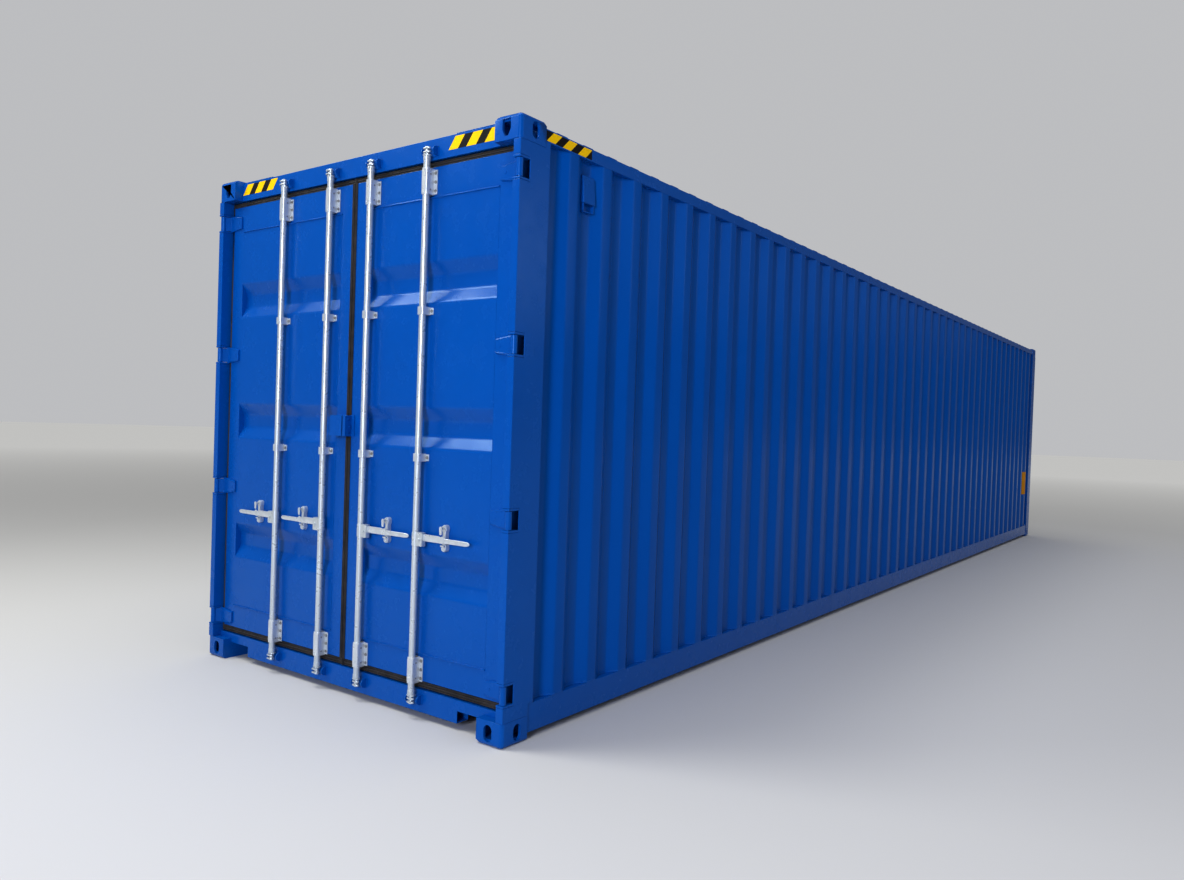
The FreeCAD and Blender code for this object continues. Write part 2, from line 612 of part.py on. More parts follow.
def keeper_ears(label, bar):
    """Four welded ears, a pair each side of one bar's cams, above and below."""
    ears = []
    middle_low = "%s + cam_inset + cam_high/2 - keeper_high/2" % BAR_LOW
    middle_top = "%s - cam_inset - cam_high/2 - keeper_high/2" % BAR_TOP
    for end, z in (("foot", middle_low), ("head", middle_top)):
        for side, y in (("in", "%s - cam_half - keeper_gap - keeper_thick" % bar),
                        ("out", "%s + cam_half + keeper_gap" % bar)):
            ears.append(box("%s_%s_%s" % (label, end, side), EAR_X, y, z,
                            "header_set_in - keeper_front", "keeper_thick", "keeper_high"))
    return ears


left_ears = keeper_ears("ear_inner", "bar_inner") + keeper_ears("ear_outer", "bar_outer")
keep("cam_keepers", fuse("cam_keepers", *left_ears, *[
    mirrored(ear.Name + "_right", ear, "y") for ear in left_ears]))


# Door leaves: built on the +Y side, then mirrored ------------------------------------------------------
def both_leaves(name, thing):
    keep(name + "_left", thing)
    return keep(name + "_right", mirrored(name + "_right", thing, "y"))


LEAF_WIDE = "(%s - leaf_half_gap)" % LEAF_OUTER
PANEL_LOW = "(%s + leaf_foot_rail)" % LEAF_LOW
PANEL_TOP = "(%s - leaf_head_rail)" % LEAF_TOP
PANEL_IN = "(leaf_half_gap + stile_wide)"
PANEL_OUT = "(%s - stile_wide)" % LEAF_OUTER


def leaf_frame():
    slab = box("leaf_slab", LEAF_FACE, "leaf_half_gap", LEAF_LOW, "leaf_thick", LEAF_WIDE,
               "%s - %s" % (LEAF_TOP, LEAF_LOW))
    window = box("leaf_window", LEAF_FACE, PANEL_IN, PANEL_LOW, "leaf_thick",
                 "%s - %s" % (PANEL_OUT, PANEL_IN), "%s - %s" % (PANEL_TOP, PANEL_LOW))
    bores = [box("stile_bore_%s" % end, "%s + stile_sheet" % LEAF_FACE, "%s + stile_sheet" % y,
                 LEAF_LOW, "leaf_thick - 2*stile_sheet", "stile_wide - 2*stile_sheet",
                 "%s - %s" % (LEAF_TOP, LEAF_LOW))
             for end, y in (("in", "leaf_half_gap"), ("out", PANEL_OUT))]
    channels = [box("leaf_channel_%s" % end, "%s + leaf_rail_sheet" % LEAF_FACE, PANEL_IN,
                    "%s + leaf_rail_sheet" % low, "leaf_thick",
                    "%s - %s" % (PANEL_OUT, PANEL_IN), "%s - 2*leaf_rail_sheet" % high)
                for end, low, high in (("foot", LEAF_LOW, "leaf_foot_rail"),
                                       ("head", PANEL_TOP, "leaf_head_rail"))]
    return cut("leaf_frame", slab, window, *bores, *channels)


both_leaves("leaf_frame", leaf_frame())


def leaf_panel():
    """The pressed sheet with three troughs across, between the stiles."""
    middle = "((%s + %s)/2 + trough_lift)" % (PANEL_LOW, PANEL_TOP)
    inner = "%s + trough_depth" % LEAF_FACE
    face = [(LEAF_FACE, PANEL_LOW)]
    for step in (-1, 0, 1):
        centre = "%s + %d*trough_pitch" % (middle, step)
        face += [(LEAF_FACE, "%s - trough_flat/2 - trough_slope" % centre),
                 (inner, "%s - trough_flat/2" % centre),
                 (inner, "%s + trough_flat/2" % centre),
                 (LEAF_FACE, "%s + trough_flat/2 + trough_slope" % centre)]
    face.append((LEAF_FACE, PANEL_TOP))
    back = [("%s + leaf_sheet" % x, z) for x, z in reversed(face)]
    return drawn("leaf_panel", "XZ", face + back, "-" + PANEL_OUT,
                 "%s - %s" % (PANEL_OUT, PANEL_IN))


both_leaves("leaf_panel", leaf_panel())

SEAL_X = "(%s + seal_back)" % LEAF_FACE


def leaf_seal():
    """The rubber seal round a leaf, with its lip and cover strip at the meeting edge."""
    low = "(sill_top + seal_clear)"
    top = "(%s - seal_clear)" % HEADER_LOW
    outer = "(%s - seal_clear)" % JAMB
    jamb = box("seal_jamb", SEAL_X, LEAF_OUTER, low, "seal_thick",
               "%s - %s" % (outer, LEAF_OUTER), "%s - %s" % (top, low))
    foot = box("seal_foot", SEAL_X, "leaf_half_gap", low, "seal_thick",
               "%s - leaf_half_gap" % outer, "%s - %s" % (LEAF_LOW, low))
    head = box("seal_head", SEAL_X, "leaf_half_gap", LEAF_TOP, "seal_thick",
               "%s - leaf_half_gap" % outer, "%s - %s" % (top, LEAF_TOP))
    lip = box("seal_lip_strip", LEAF_FACE, "seal_lip", low, "seal_lip_thick",
              "leaf_half_gap - seal_lip", "%s - %s" % (top, low))
    cover = box("seal_cover_strip", "%s - seal_cover_thick" % LEAF_FACE, "seal_lip", LEAF_LOW,
                "seal_cover_thick", "seal_cover - seal_lip", "%s - %s" % (LEAF_TOP, LEAF_LOW))
    gap = box("seal_lock_gap", "%s - seal_cover_thick" % LEAF_FACE, "seal_lip", "lock_low",
              "seal_cover_thick", "seal_cover", "lock_high")
    return fuse("leaf_seal", jamb, foot, head, lip, cut("seal_cover_cut", cover, gap))


both_leaves("leaf_seal", leaf_seal())


# Hinge blades on the leaf ------------------------------------------------------------------------
def hinge_blade(level, index):
    """The blade on the leaf's face and its knuckle round the pin."""
    face, back = LEAF_FACE, "%s - blade_thick" % LEAF_FACE
    tip = "(%s - blade_reach)" % PIN_Y
    plan = [
        (face, tip), (back, tip), (back, "%s - blade_root" % PIN_Y),
        ("%s + knuckle_rise" % PIN_X, "%s - knuckle_flank" % PIN_Y),
        ("%s + knuckle_flank" % PIN_X, "%s + knuckle_rise" % PIN_Y),
        (face, "%s - knuckle_heel" % PIN_Y),
    ]
    name = "blade_%d" % index
    strap = drawn(name + "_strap", "XY", plan, "%s - blade_high/2" % level, "blade_high")
    root = "(%s - blade_root)" % PIN_Y
    flank = drawn(name + "_flank", "YZ", [
        (SIDE, "%s - blade_high/2" % level), (SIDE, "%s + blade_high/2" % level),
        (root, "%s + blade_high/2" % level), (tip, "%s + blade_tip_high/2" % level),
        (tip, "%s - blade_tip_high/2" % level), (root, "%s - blade_high/2" % level),
    ], "-" + END, "leaf_set_in")
    knuckle = rod(name + "_knuckle", PIN_X, PIN_Y, "%s - blade_high/2" % level,
                  "knuckle_radius", "blade_high")
    bore = rod(name + "_bore", PIN_X, PIN_Y, "%s - blade_high/2" % level,
               "pin_radius + pin_clearance", "blade_high")
    return cut(name, fuse(name + "_body", common(name + "_tapered", strap, flank), knuckle), bore)


both_leaves("hinge_blades", fuse("hinge_blades", *[
    hinge_blade(level, i) for i, level in enumerate(HINGE_LEVELS)]))


# Bearings and guides of the locking bars -------------------------------------------------------------
def bearing(label, bar, low, high):
    """A housing round the bar on a plate screwed to the leaf."""
    shell = rod(label + "_shell", BAR_X, bar, low, "bearing_radius", high)
    neck = box(label + "_neck", BAR_X, "%s - bearing_radius" % bar, low,
               "%s - %s" % (LEAF_FACE, BAR_X), "2*bearing_radius", high)
    plate = box(label + "_plate", PLATE_X, "%s - plate_half" % bar,
                "%s + plate_less/2" % low, "plate_thick", "2*plate_half",
                "%s - plate_less" % high)
    bore = rod(label + "_bore", BAR_X, bar, low, "bar_radius + bar_clearance", high)
    return cut(label, fuse(label + "_body", shell, neck, plate), bore)


def bar_brackets():
    things = []
    for which, bar in (("inner", "bar_inner"), ("outer", "bar_outer")):
        levels = [("foot", "(%s - bearing_foot_over)" % LEAF_LOW, "bearing_high"),
                  ("low", "(guide_low - guide_high/2)", "guide_high"),
                  ("mid", "(guide_low + guide_pitch - guide_high/2)", "guide_high"),
                  ("head", "(%s - bearing_head_over - bearing_high)" % LEAF_TOP, "bearing_high")]
        things += [bearing("bearing_%s_%s" % (which, end), bar, low, high)
                   for end, low, high in levels]
    return fuse("bar_brackets", *things)


both_leaves("bar_brackets", bar_brackets())


# Handle retainers ---------------------------------------------------------------------------------
def retainer(which, bar):
    middle = "(%s + retainer_reach)" % bar
    plate = box("retainer_plate_" + which, RETAINER_X, "%s - retainer_half" % middle,
                "retainer_low", "retainer_deep", "2*retainer_half",
                "retainer_top - retainer_low")
    shelf = box("retainer_shelf_" + which, HANDLE_X, "%s - shelf_half" % middle,
                "handle_level - handle_high/2 - shelf_gap - shelf_thick",
                "%s - %s" % (RETAINER_X, HANDLE_X), "2*shelf_half", "shelf_thick")
    rivet = rod("retainer_rivet_" + which, CATCH_X, middle, "catch_level", "rivet_radius",
                "%s - %s" % (RETAINER_X, CATCH_X), "x")
    return fuse("retainer_" + which, plate, shelf, rivet)


both_leaves("handle_retainers", fuse("handle_retainers", retainer("inner", "bar_inner"),
                                     retainer("outer", "bar_outer")))


# Lock box over the meeting stiles ---------------------------------------------------------------------
LOCK_X = "(-box_length/2 + lock_inset)"


def lock_half(label, reach):
    shell = box(label + "_shell", LOCK_X, "lock_gap", "lock_low", "%s - %s" % (LEAF_FACE, LOCK_X),
                "%s - lock_gap" % reach, "lock_high")
    hollow = box(label + "_hollow", "%s + lock_sheet" % LOCK_X, "lock_gap", "lock_low",
                 "%s - %s - 2*lock_sheet" % (LEAF_FACE, LOCK_X),
                 "%s - lock_gap - lock_sheet" % reach, "lock_high - lock_sheet")
    return cut(label, shell, hollow)


lock_flange = box("lock_box_flange", PLATE_X, "lock_right", "lock_low", "plate_thick",
                  "lock_flange", "lock_high")
keep("lock_box_left", lock_half("lock_box_left", "lock_left"))
keep("lock_box_right", mirrored("lock_box_right", fuse(
    "lock_half_flanged", lock_half("lock_half_right", "lock_right"), lock_flange), "y"))


# Locking bars with their cams and hubs, handles and catches ---------------------------------------------
def locking_bar(which, bar):
    shaft = rod("shaft_" + which, BAR_X, bar, BAR_LOW, "bar_radius", "%s - %s" % (BAR_TOP, BAR_LOW))
    cams = [box("cam_%s_%s" % (which, end), "%s - cam_deep/2" % BAR_X, "%s - cam_half" % bar, z,
                "cam_deep", "2*cam_half", "cam_high")
            for end, z in (("foot", "%s + cam_inset" % BAR_LOW),
                           ("head", "%s - cam_inset - cam_high" % BAR_TOP))]
    hub_low = "handle_level - hub_high/2 - hub_drop"
    hub = box("hub_block_" + which, "%s - hub_deep/2" % BAR_X, bar, hub_low, "hub_deep",
              "hub_reach", "hub_high")
    slot = box("hub_slot_" + which, HANDLE_X, "%s + bar_radius" % bar, hub_low,
               "handle_thick", "hub_reach", "hub_high")
    return cut("locking_bar_" + which, fuse("bar_body_" + which, shaft, hub, *cams), slot)


def handle(which, bar):
    return box("handle_" + which, HANDLE_X, "%s + bar_radius" % bar,
               "handle_level - handle_high/2", "handle_thick",
               "handle_reach - bar_radius", "handle_high")


def catch(which, bar):
    middle = "(%s + retainer_reach)" % bar
    head = rod("catch_head_" + which, CATCH_X, middle, "catch_level", "catch_half",
               "catch_thick", "x")
    tail = box("catch_tail_" + which, CATCH_X, "%s - catch_half" % middle,
               "catch_level - catch_drop", "catch_thick", "2*catch_half", "catch_drop")
    bore = rod("catch_bore_" + which, CATCH_X, middle, "catch_level",
               "rivet_radius + pin_clearance", "catch_thick", "x")
    return cut("catch_" + which, fuse("catch_body_" + which, head, tail), bore)


for which, bar in (("inner", "bar_inner"), ("outer", "bar_outer")):
    for name, thing in (("bar", locking_bar(which, bar)), ("handle", handle(which, bar)),
                        ("catch", catch(which, bar))):
        keep("%s_left_%s" % (name, which), thing)
        keep("%s_right_%s" % (name, which),
             mirrored("%s_right_%s" % (name, which), thing, "y"))


# Recompute, check and export ---------------------------------------------------------------------------
doc.recompute()
for thing in doc.Objects:
    if "Invalid" in thing.State or "Error" in thing.State:
        raise RuntimeError("%s failed: %s" % (thing.Label, thing.State))
for name, thing in parts.items():
    if thing.Shape.isNull() or not thing.Shape.isValid():
        raise RuntimeError("%s has no valid shape" % name)

os.makedirs("parts", exist_ok=True)
for name, thing in parts.items():
    thing.Shape.exportStep("parts/%s.step" % name)
    print("%-22s solids %3d  volume %.3f dm3" % (name, len(thing.Shape.Solids),
                                                 thing.Shape.Volume / 1e6))
print(len(parts), "sub-parts")
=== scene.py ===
# %% [markdown]
# # A steel shipping container
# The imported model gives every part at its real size, in metres: +X runs to the closed end, +Y to the
# left seen from the doors, +Z up. This lesson dresses it: it rounds the steel, presses the sheets,
# forges the door gear and paints the lot. A place is read from the frame, never moved by eye.

# %% Load the frame
import math

import bmesh
import bpy
from mathutils import Matrix, Vector, noise


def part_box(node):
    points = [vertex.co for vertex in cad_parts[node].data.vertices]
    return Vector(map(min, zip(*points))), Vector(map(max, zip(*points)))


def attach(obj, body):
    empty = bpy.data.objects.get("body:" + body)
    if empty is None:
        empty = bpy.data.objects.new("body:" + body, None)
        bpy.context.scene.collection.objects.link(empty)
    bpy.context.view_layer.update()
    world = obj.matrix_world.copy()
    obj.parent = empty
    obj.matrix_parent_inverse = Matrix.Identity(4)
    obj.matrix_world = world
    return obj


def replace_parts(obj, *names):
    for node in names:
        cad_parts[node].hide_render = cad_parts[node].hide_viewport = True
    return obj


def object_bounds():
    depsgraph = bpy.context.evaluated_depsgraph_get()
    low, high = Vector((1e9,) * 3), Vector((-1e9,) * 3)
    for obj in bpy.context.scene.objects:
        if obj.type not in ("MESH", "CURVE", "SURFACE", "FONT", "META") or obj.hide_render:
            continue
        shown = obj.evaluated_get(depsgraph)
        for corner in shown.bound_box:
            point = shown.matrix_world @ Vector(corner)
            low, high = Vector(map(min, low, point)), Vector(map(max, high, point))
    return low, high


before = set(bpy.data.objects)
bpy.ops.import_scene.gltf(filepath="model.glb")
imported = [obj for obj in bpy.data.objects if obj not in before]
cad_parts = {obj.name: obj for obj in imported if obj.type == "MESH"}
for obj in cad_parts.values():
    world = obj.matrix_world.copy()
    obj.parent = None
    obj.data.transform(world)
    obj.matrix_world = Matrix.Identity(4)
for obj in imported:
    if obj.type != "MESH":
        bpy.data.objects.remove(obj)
cad_low, cad_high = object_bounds()
DOOR_END, FRONT_END = cad_low.x, cad_high.x
HALF_WIDTH = cad_high.y
print("frame", [round(v, 3) for v in (*cad_low, *cad_high)], len(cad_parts), "nodes")

# %% [markdown]
# ## Camera
# The view stands near the door corner, at about chest height, and looks along the right side.
# A wide lens close by makes the long box shrink fast. The camera is also rolled by two degrees.

# %% Camera
camera_data = bpy.data.cameras.new("view")
camera_data.lens = 26.86
camera = bpy.data.objects.new("view", camera_data)
bpy.context.scene.collection.objects.link(camera)
HEADING, PITCH, ROLL = (math.radians(a) for a in (36.396, -0.977, 1.929))
camera.matrix_world = (
    Matrix.Translation((DOOR_END - 2.996, -HALF_WIDTH - 2.661, 1.4954))
    @ Matrix.Rotation(HEADING - math.pi / 2, 4, "Z")
    @ Matrix.Rotation(math.pi / 2 + PITCH, 4, "X")
    @ Matrix.Rotation(ROLL, 4, "Z"))
bpy.context.scene.camera = camera
print("camera at", [round(v, 2) for v in camera.location])

# %% [markdown]
# ## Studio
# A pale floor and soft light. The key lamp hangs close in front of the doors, high and to their left:
# it grazes them, so the pressed troughs read strongly and the bars throw soft shadows to the right.
# A strong lamp rakes along the side from beyond the doors and a weak one fills it. A wide, even light
# comes from the ceiling. The floor's colour grows paler with distance: painted light that makes up for
# the lamps falling off away from the box, so the floor meets the backdrop softly. The tone curve is a
# little steeper than the standard one.

# %% Floor and lights
def soft_lamp(name, place, target, width, height, watts, tint=(1.0, 1.0, 1.0)):
    """An area lamp at a place, turned towards a target."""
    data = bpy.data.lights.new(name, "AREA")
    data.shape = "RECTANGLE"
    data.size, data.size_y = width, height
    data.energy = watts
    data.color = tint
    lamp = bpy.data.objects.new(name, data)
    bpy.context.scene.collection.objects.link(lamp)
    lamp.location = place
    lamp.rotation_euler = (Vector(target) - Vector(place)).to_track_quat("-Z", "Y").to_euler()
    return lamp


FLOOR_SIZE = 90.0
floor_bm = bmesh.new()
bmesh.ops.create_circle(floor_bm, cap_ends=True, segments=64, radius=FLOOR_SIZE)
floor_mesh = bpy.data.meshes.new("studio_floor")
floor_bm.to_mesh(floor_mesh)
floor_bm.free()
studio_floor = bpy.data.objects.new("studio_floor", floor_mesh)
bpy.context.scene.collection.objects.link(studio_floor)
floor_paint = bpy.data.materials.new("studio_floor")
floor_paint.use_nodes = True
floor_shader = floor_paint.node_tree.nodes["Principled BSDF"]
floor_nodes, floor_link = floor_paint.node_tree.nodes, floor_paint.node_tree.links.new
# Painted light: the floor's base colour runs from 0.60 grey within 9 m to 0.98 by 32 m, standing in
# for lamp light that falls off before the far floor.
distance, painted_far_light = floor_nodes.new("ShaderNodeVectorMath"), floor_nodes.new("ShaderNodeMapRange")
distance.operation = "LENGTH"
for socket, number in (("From Min", 9.0), ("From Max", 32.0), ("To Min", 0.60), ("To Max", 0.98)):
    painted_far_light.inputs[socket].default_value = number
floor_link(floor_nodes.new("ShaderNodeTexCoord").outputs["Object"], distance.inputs[0])
floor_link(distance.outputs["Value"], painted_far_light.inputs["Value"])
floor_link(painted_far_light.outputs["Result"], floor_shader.inputs["Base Color"])
floor_shader.inputs["Roughness"].default_value = 0.8
floor_shader.inputs["Specular IOR Level"].default_value = 0.0
floor_mesh.materials.append(floor_paint)

world = bpy.data.worlds.new("studio")
world.use_nodes = True
sky = world.node_tree
wall_light, wall_seen = sky.nodes["Background"], sky.nodes.new("ShaderNodeBackground")
wall_light.inputs["Color"].default_value = (0.50, 0.51, 0.53, 1)
wall_light.inputs["Strength"].default_value = 0.34
wall_seen.inputs["Color"].default_value = (0.56, 0.565, 0.58, 1)
wall_seen.inputs["Strength"].default_value = 1.0
pick = sky.nodes.new("ShaderNodeMixShader")
sky.links.new(sky.nodes.new("ShaderNodeLightPath").outputs["Is Camera Ray"], pick.inputs[0])
sky.links.new(wall_light.outputs[0], pick.inputs[1])
sky.links.new(wall_seen.outputs[0], pick.inputs[2])
sky.links.new(pick.outputs[0], sky.nodes["World Output"].inputs["Surface"])
bpy.context.scene.world = world
bpy.context.scene.view_settings.view_transform = "Standard"
bpy.context.scene.view_settings.gamma = 0.85

WARM, COOL = (1.0, 0.985, 0.88), (0.78, 0.82, 1.0)
soft_lamp("key", (DOOR_END - 3.2, 4.2, 6.4), (DOOR_END, -0.2, 1.2), 3.2, 1.8, 205, WARM)
soft_lamp("door_top", (DOOR_END - 1.6, 1.0, 8.0), (DOOR_END, 0.0, 1.0), 2.0, 1.2, 165)
soft_lamp("side_front", (DOOR_END - 9.0, -4.2, 3.5), (1.0, -HALF_WIDTH, 1.2), 2.0, 3.0, 760, COOL)
soft_lamp("side_fill", (1.0, -11.0, 5.0), (1.0, -HALF_WIDTH, 1.2), 12.0, 3.0, 200, COOL)
ceiling = bpy.data.lights.new("ceiling", "SUN")
ceiling.energy = 1.35
ceiling.color = (1.0, 0.99, 0.95)
ceiling.angle = math.radians(70)
ceiling_lamp = bpy.data.objects.new("ceiling", ceiling)
bpy.context.scene.collection.objects.link(ceiling_lamp)

# %% [markdown]
# ## Shared surface effects
# New enamel is nearly even, but never quite: the spray leaves a fine orange-peel skin, the tone
# drifts a little over a metre, and road dust gathers low down. One group makes these three and every
# paint uses it with its own strengths. A second group makes hot-dip zinc: crystals of two tones,
# smeared by drips. Coordinates are the object's own, so a pattern stays put.

# %% Node helpers and shared groups
def add_node(tree, kind, **settings):
    node = tree.nodes.new(kind)
    for key, value in settings.items():
        setattr(node, key, value)
    return node


def object_place(tree):
    return add_node(tree, "ShaderNodeTexCoord").outputs["Object"]


def noise_node(tree, vector, scale, detail=4.0, roughness=0.5):
    node = add_node(tree, "ShaderNodeTexNoise")
    node.inputs["Scale"].default_value = scale
    node.inputs["Detail"].default_value = detail
    node.inputs["Roughness"].default_value = roughness
    tree.links.new(vector, node.inputs["Vector"])
    return node.outputs["Fac"]


def ramp(tree, value, low, high, to_low=0.0, to_high=1.0):
    """Spread value's range low..high over to_low..to_high, clamped."""
    node = add_node(tree, "ShaderNodeMapRange")
    for socket, number in zip(("From Min", "From Max", "To Min", "To Max"),
                              (low, high, to_low, to_high)):
        node.inputs[socket].default_value = number
    tree.links.new(value, node.inputs["Value"])
    return node.outputs["Result"]


def math_node(tree, operation, first, second):
    node = add_node(tree, "ShaderNodeMath", operation=operation)
    for socket, value in zip(node.inputs, (first, second)):
        if isinstance(value, (int, float)):
            socket.default_value = value
        else:
            tree.links.new(value, socket)
    return node.outputs["Value"]


def mix_colour(tree, factor, first, second):
    node = add_node(tree, "ShaderNodeMix", data_type="RGBA")
    for socket, value in ((node.inputs[0], factor), (node.inputs[6], first),
                          (node.inputs[7], second)):
        if hasattr(value, "is_linked"):
            tree.links.new(value, socket)
        else:
            socket.default_value = value
    return node.outputs[2]


def bump_node(tree, height, strength, distance):
    node = add_node(tree, "ShaderNodeBump")
    node.inputs["Distance"].default_value = distance
    tree.links.new(height, node.inputs["Height"])
    if isinstance(strength, float):
        node.inputs["Strength"].default_value = strength
    else:
        tree.links.new(strength, node.inputs["Strength"])
    return node.outputs["Normal"]


def new_group(name, inputs, outputs):
    """A shader node group with named sockets: {name: (kind, default)}."""
    tree = bpy.data.node_groups.new(name, "ShaderNodeTree")
    for label, (kind, default) in inputs.items():
        socket = tree.interface.new_socket(label, in_out="INPUT", socket_type=kind)
        socket.default_value = default
    for label, kind in outputs.items():
        tree.interface.new_socket(label, in_out="OUTPUT", socket_type=kind)
    return tree, tree.nodes.new("NodeGroupInput"), tree.nodes.new("NodeGroupOutput")


FLOAT, COLOUR, VECTOR = "NodeSocketFloat", "NodeSocketColor", "NodeSocketVector"


def build_enamel():
    tree, given, result = new_group(
        "enamel",
        {"Tone": (COLOUR, (0.01, 0.1, 0.5, 1)), "Deep Tone": (COLOUR, (0.005, 0.06, 0.35, 1)),
         "Dust Tone": (COLOUR, (0.16, 0.18, 0.22, 1)), "Drift": (FLOAT, 0.5),
         "Dust": (FLOAT, 0.2), "Peel": (FLOAT, 0.25), "Gloss": (FLOAT, 0.32)},
        {"Color": COLOUR, "Roughness": FLOAT, "Normal": VECTOR})
    link = tree.links.new
    place = object_place(tree)
    drift = ramp(tree, noise_node(tree, place, 1.7, 5, 0.55), 0.3, 0.7)
    drift = math_node(tree, "MULTIPLY", drift, given.outputs["Drift"])
    colour = mix_colour(tree, drift, given.outputs["Tone"], given.outputs["Deep Tone"])
    axes = add_node(tree, "ShaderNodeSeparateXYZ")
    link(place, axes.inputs[0])
    low = ramp(tree, axes.outputs["Z"], 0.02, 0.75, 1.0, 0.0)
    specks = ramp(tree, noise_node(tree, place, 26, 8, 0.7), 0.42, 0.78)
    dust = math_node(tree, "MULTIPLY", math_node(tree, "MULTIPLY", low, specks),
                     given.outputs["Dust"])
    link(mix_colour(tree, dust, colour, given.outputs["Dust Tone"]), result.inputs["Color"])
    patches = ramp(tree, noise_node(tree, place, 9, 6, 0.6), 0.3, 0.7, -0.05, 0.07)
    rough = math_node(tree, "ADD", given.outputs["Gloss"], patches)
    link(math_node(tree, "ADD", rough, math_node(tree, "MULTIPLY", dust, 0.35)),
         result.inputs["Roughness"])
    peel = math_node(tree, "MULTIPLY", noise_node(tree, place, 210, 2, 0.5), 0.10)
    height = math_node(tree, "ADD", peel, noise_node(tree, place, 7, 2, 0.4))
    link(bump_node(tree, height, given.outputs["Peel"], 0.0012), result.inputs["Normal"])
    return tree


def build_zinc():
    tree, given, result = new_group(
        "zinc", {"Bright": (COLOUR, (0.6, 0.65, 0.67, 1)), "Dull": (COLOUR, (0.5, 0.55, 0.58, 1)),
                 "Rough": (FLOAT, 0.3)},
        {"Color": COLOUR, "Roughness": FLOAT, "Normal": VECTOR})
    link = tree.links.new
    place = object_place(tree)
    cells = add_node(tree, "ShaderNodeTexVoronoi", feature="SMOOTH_F1")
    cells.inputs["Scale"].default_value = 90
    link(place, cells.inputs["Vector"])
    spangle = ramp(tree, cells.outputs["Distance"], 0.0, 0.9)
    cloud = ramp(tree, noise_node(tree, place, 22, 6, 0.65), 0.35, 0.68)
    blend = math_node(tree, "ADD", math_node(tree, "MULTIPLY", spangle, 0.35),
                      math_node(tree, "MULTIPLY", cloud, 0.65))
    link(mix_colour(tree, blend, given.outputs["Bright"], given.outputs["Dull"]),
         result.inputs["Color"])
    link(math_node(tree, "ADD", ramp(tree, blend, 0.0, 1.0, -0.08, 0.14), given.outputs["Rough"]),
         result.inputs["Roughness"])
    link(bump_node(tree, noise_node(tree, place, 160, 5, 0.6), 0.04, 0.0004),
         result.inputs["Normal"])
    return tree


ENAMEL, ZINC_SKIN = build_enamel(), build_zinc()
for group in (ENAMEL, ZINC_SKIN):
    print("group", group.name, "with", len(group.nodes), "nodes")

# %% [markdown]
# ## Paints, zinc, rubber and boards
# Each material places its group and keeps its Principled shader to itself. Paint is a dielectric whose
# glint keeps some of its own colour, and wall sheets shine less than the frame. Zinc is half metallic.
# Rubber is nearly black and dull. Floor boards carry stretched grain.

# %% Materials
def new_material(name, **numbers):
    material = bpy.data.materials.new(name)
    material.use_nodes = True
    shader = material.node_tree.nodes["Principled BSDF"]
    for key, value in numbers.items():
        shader.inputs[key.replace("_", " ")].default_value = value
    return material, material.node_tree, shader


def place_group(tree, shader, skin, **amounts):
    """Put a shared group in a material and wire its three outputs to the shader."""
    group = add_node(tree, "ShaderNodeGroup", node_tree=skin)
    for key, value in amounts.items():
        group.inputs[key.replace("_", " ").title()].default_value = value
    for output, socket in (("Color", "Base Color"), ("Roughness", "Roughness"),
                           ("Normal", "Normal")):
        tree.links.new(group.outputs[output], shader.inputs[socket])


def enamel_material(name, tone, deep, tint, shine=0.3, **amounts):
    material, tree, shader = new_material(name, Specular_IOR_Level=shine)
    shader.inputs["Specular Tint"].default_value = (*tint, 1)
    place_group(tree, shader, ENAMEL, tone=(*tone, 1), deep_tone=(*deep, 1), **amounts)
    return material


BLUE_PAINT = {"tone": (0.0002, 0.092, 0.38), "deep": (0.0002, 0.072, 0.32),
              "tint": (0.35, 0.7, 1.0), "drift": 0.3, "dust": 0.02}
BLUE = enamel_material("blue_enamel", peel=0.2, gloss=0.24, **BLUE_PAINT)
BLUE_SHEET = enamel_material("blue_enamel_sheet", peel=0.15, gloss=0.20, shine=0.12, **BLUE_PAINT)
YELLOW = enamel_material("hazard_yellow", (0.95, 0.60, 0.0), (0.85, 0.50, 0.0), (1.0, 0.75, 0.1),
                         drift=0.4, dust=0.0, peel=0.1, gloss=0.5)
BLACK = enamel_material("hazard_black", (0.007, 0.007, 0.007), (0.012, 0.011, 0.011),
                        (0.4, 0.4, 0.4), drift=0.4, dust=0.0, peel=0.1, gloss=0.6)
AMBER = enamel_material("amber_patch", (0.62, 0.27, 0.005), (0.42, 0.17, 0.005), (1.0, 0.7, 0.3),
                        drift=0.6, dust=0.0, peel=0.1, gloss=0.5)


def zinc_material(name, bright, dull, rough):
    material, tree, shader = new_material(name, Metallic=0.5)
    place_group(tree, shader, ZINC_SKIN, bright=(*bright, 1), dull=(*dull, 1), rough=rough)
    return material


ZINC = zinc_material("hot_dip_zinc", (0.62, 0.67, 0.69), (0.55, 0.60, 0.62), 0.30)
BOLT_ZINC = zinc_material("bolt_zinc", (0.40, 0.40, 0.38), (0.22, 0.21, 0.20), 0.40)
CAST_ZINC = zinc_material("cast_zinc", (0.72, 0.76, 0.78), (0.56, 0.60, 0.63), 0.32)


def rubber_material():
    material, tree, shader = new_material("seal_rubber", Specular_IOR_Level=0.35)
    link = tree.links.new
    place = object_place(tree)
    cloud = ramp(tree, noise_node(tree, place, 14, 6, 0.6), 0.35, 0.7)
    link(mix_colour(tree, cloud, (0.020, 0.019, 0.020, 1), (0.052, 0.045, 0.042, 1)),
         shader.inputs["Base Color"])
    link(ramp(tree, cloud, 0.0, 1.0, 0.55, 0.75), shader.inputs["Roughness"])
    link(bump_node(tree, noise_node(tree, place, 300, 3, 0.5), 0.2, 0.0005),
         shader.inputs["Normal"])
    return material


RUBBER = rubber_material()


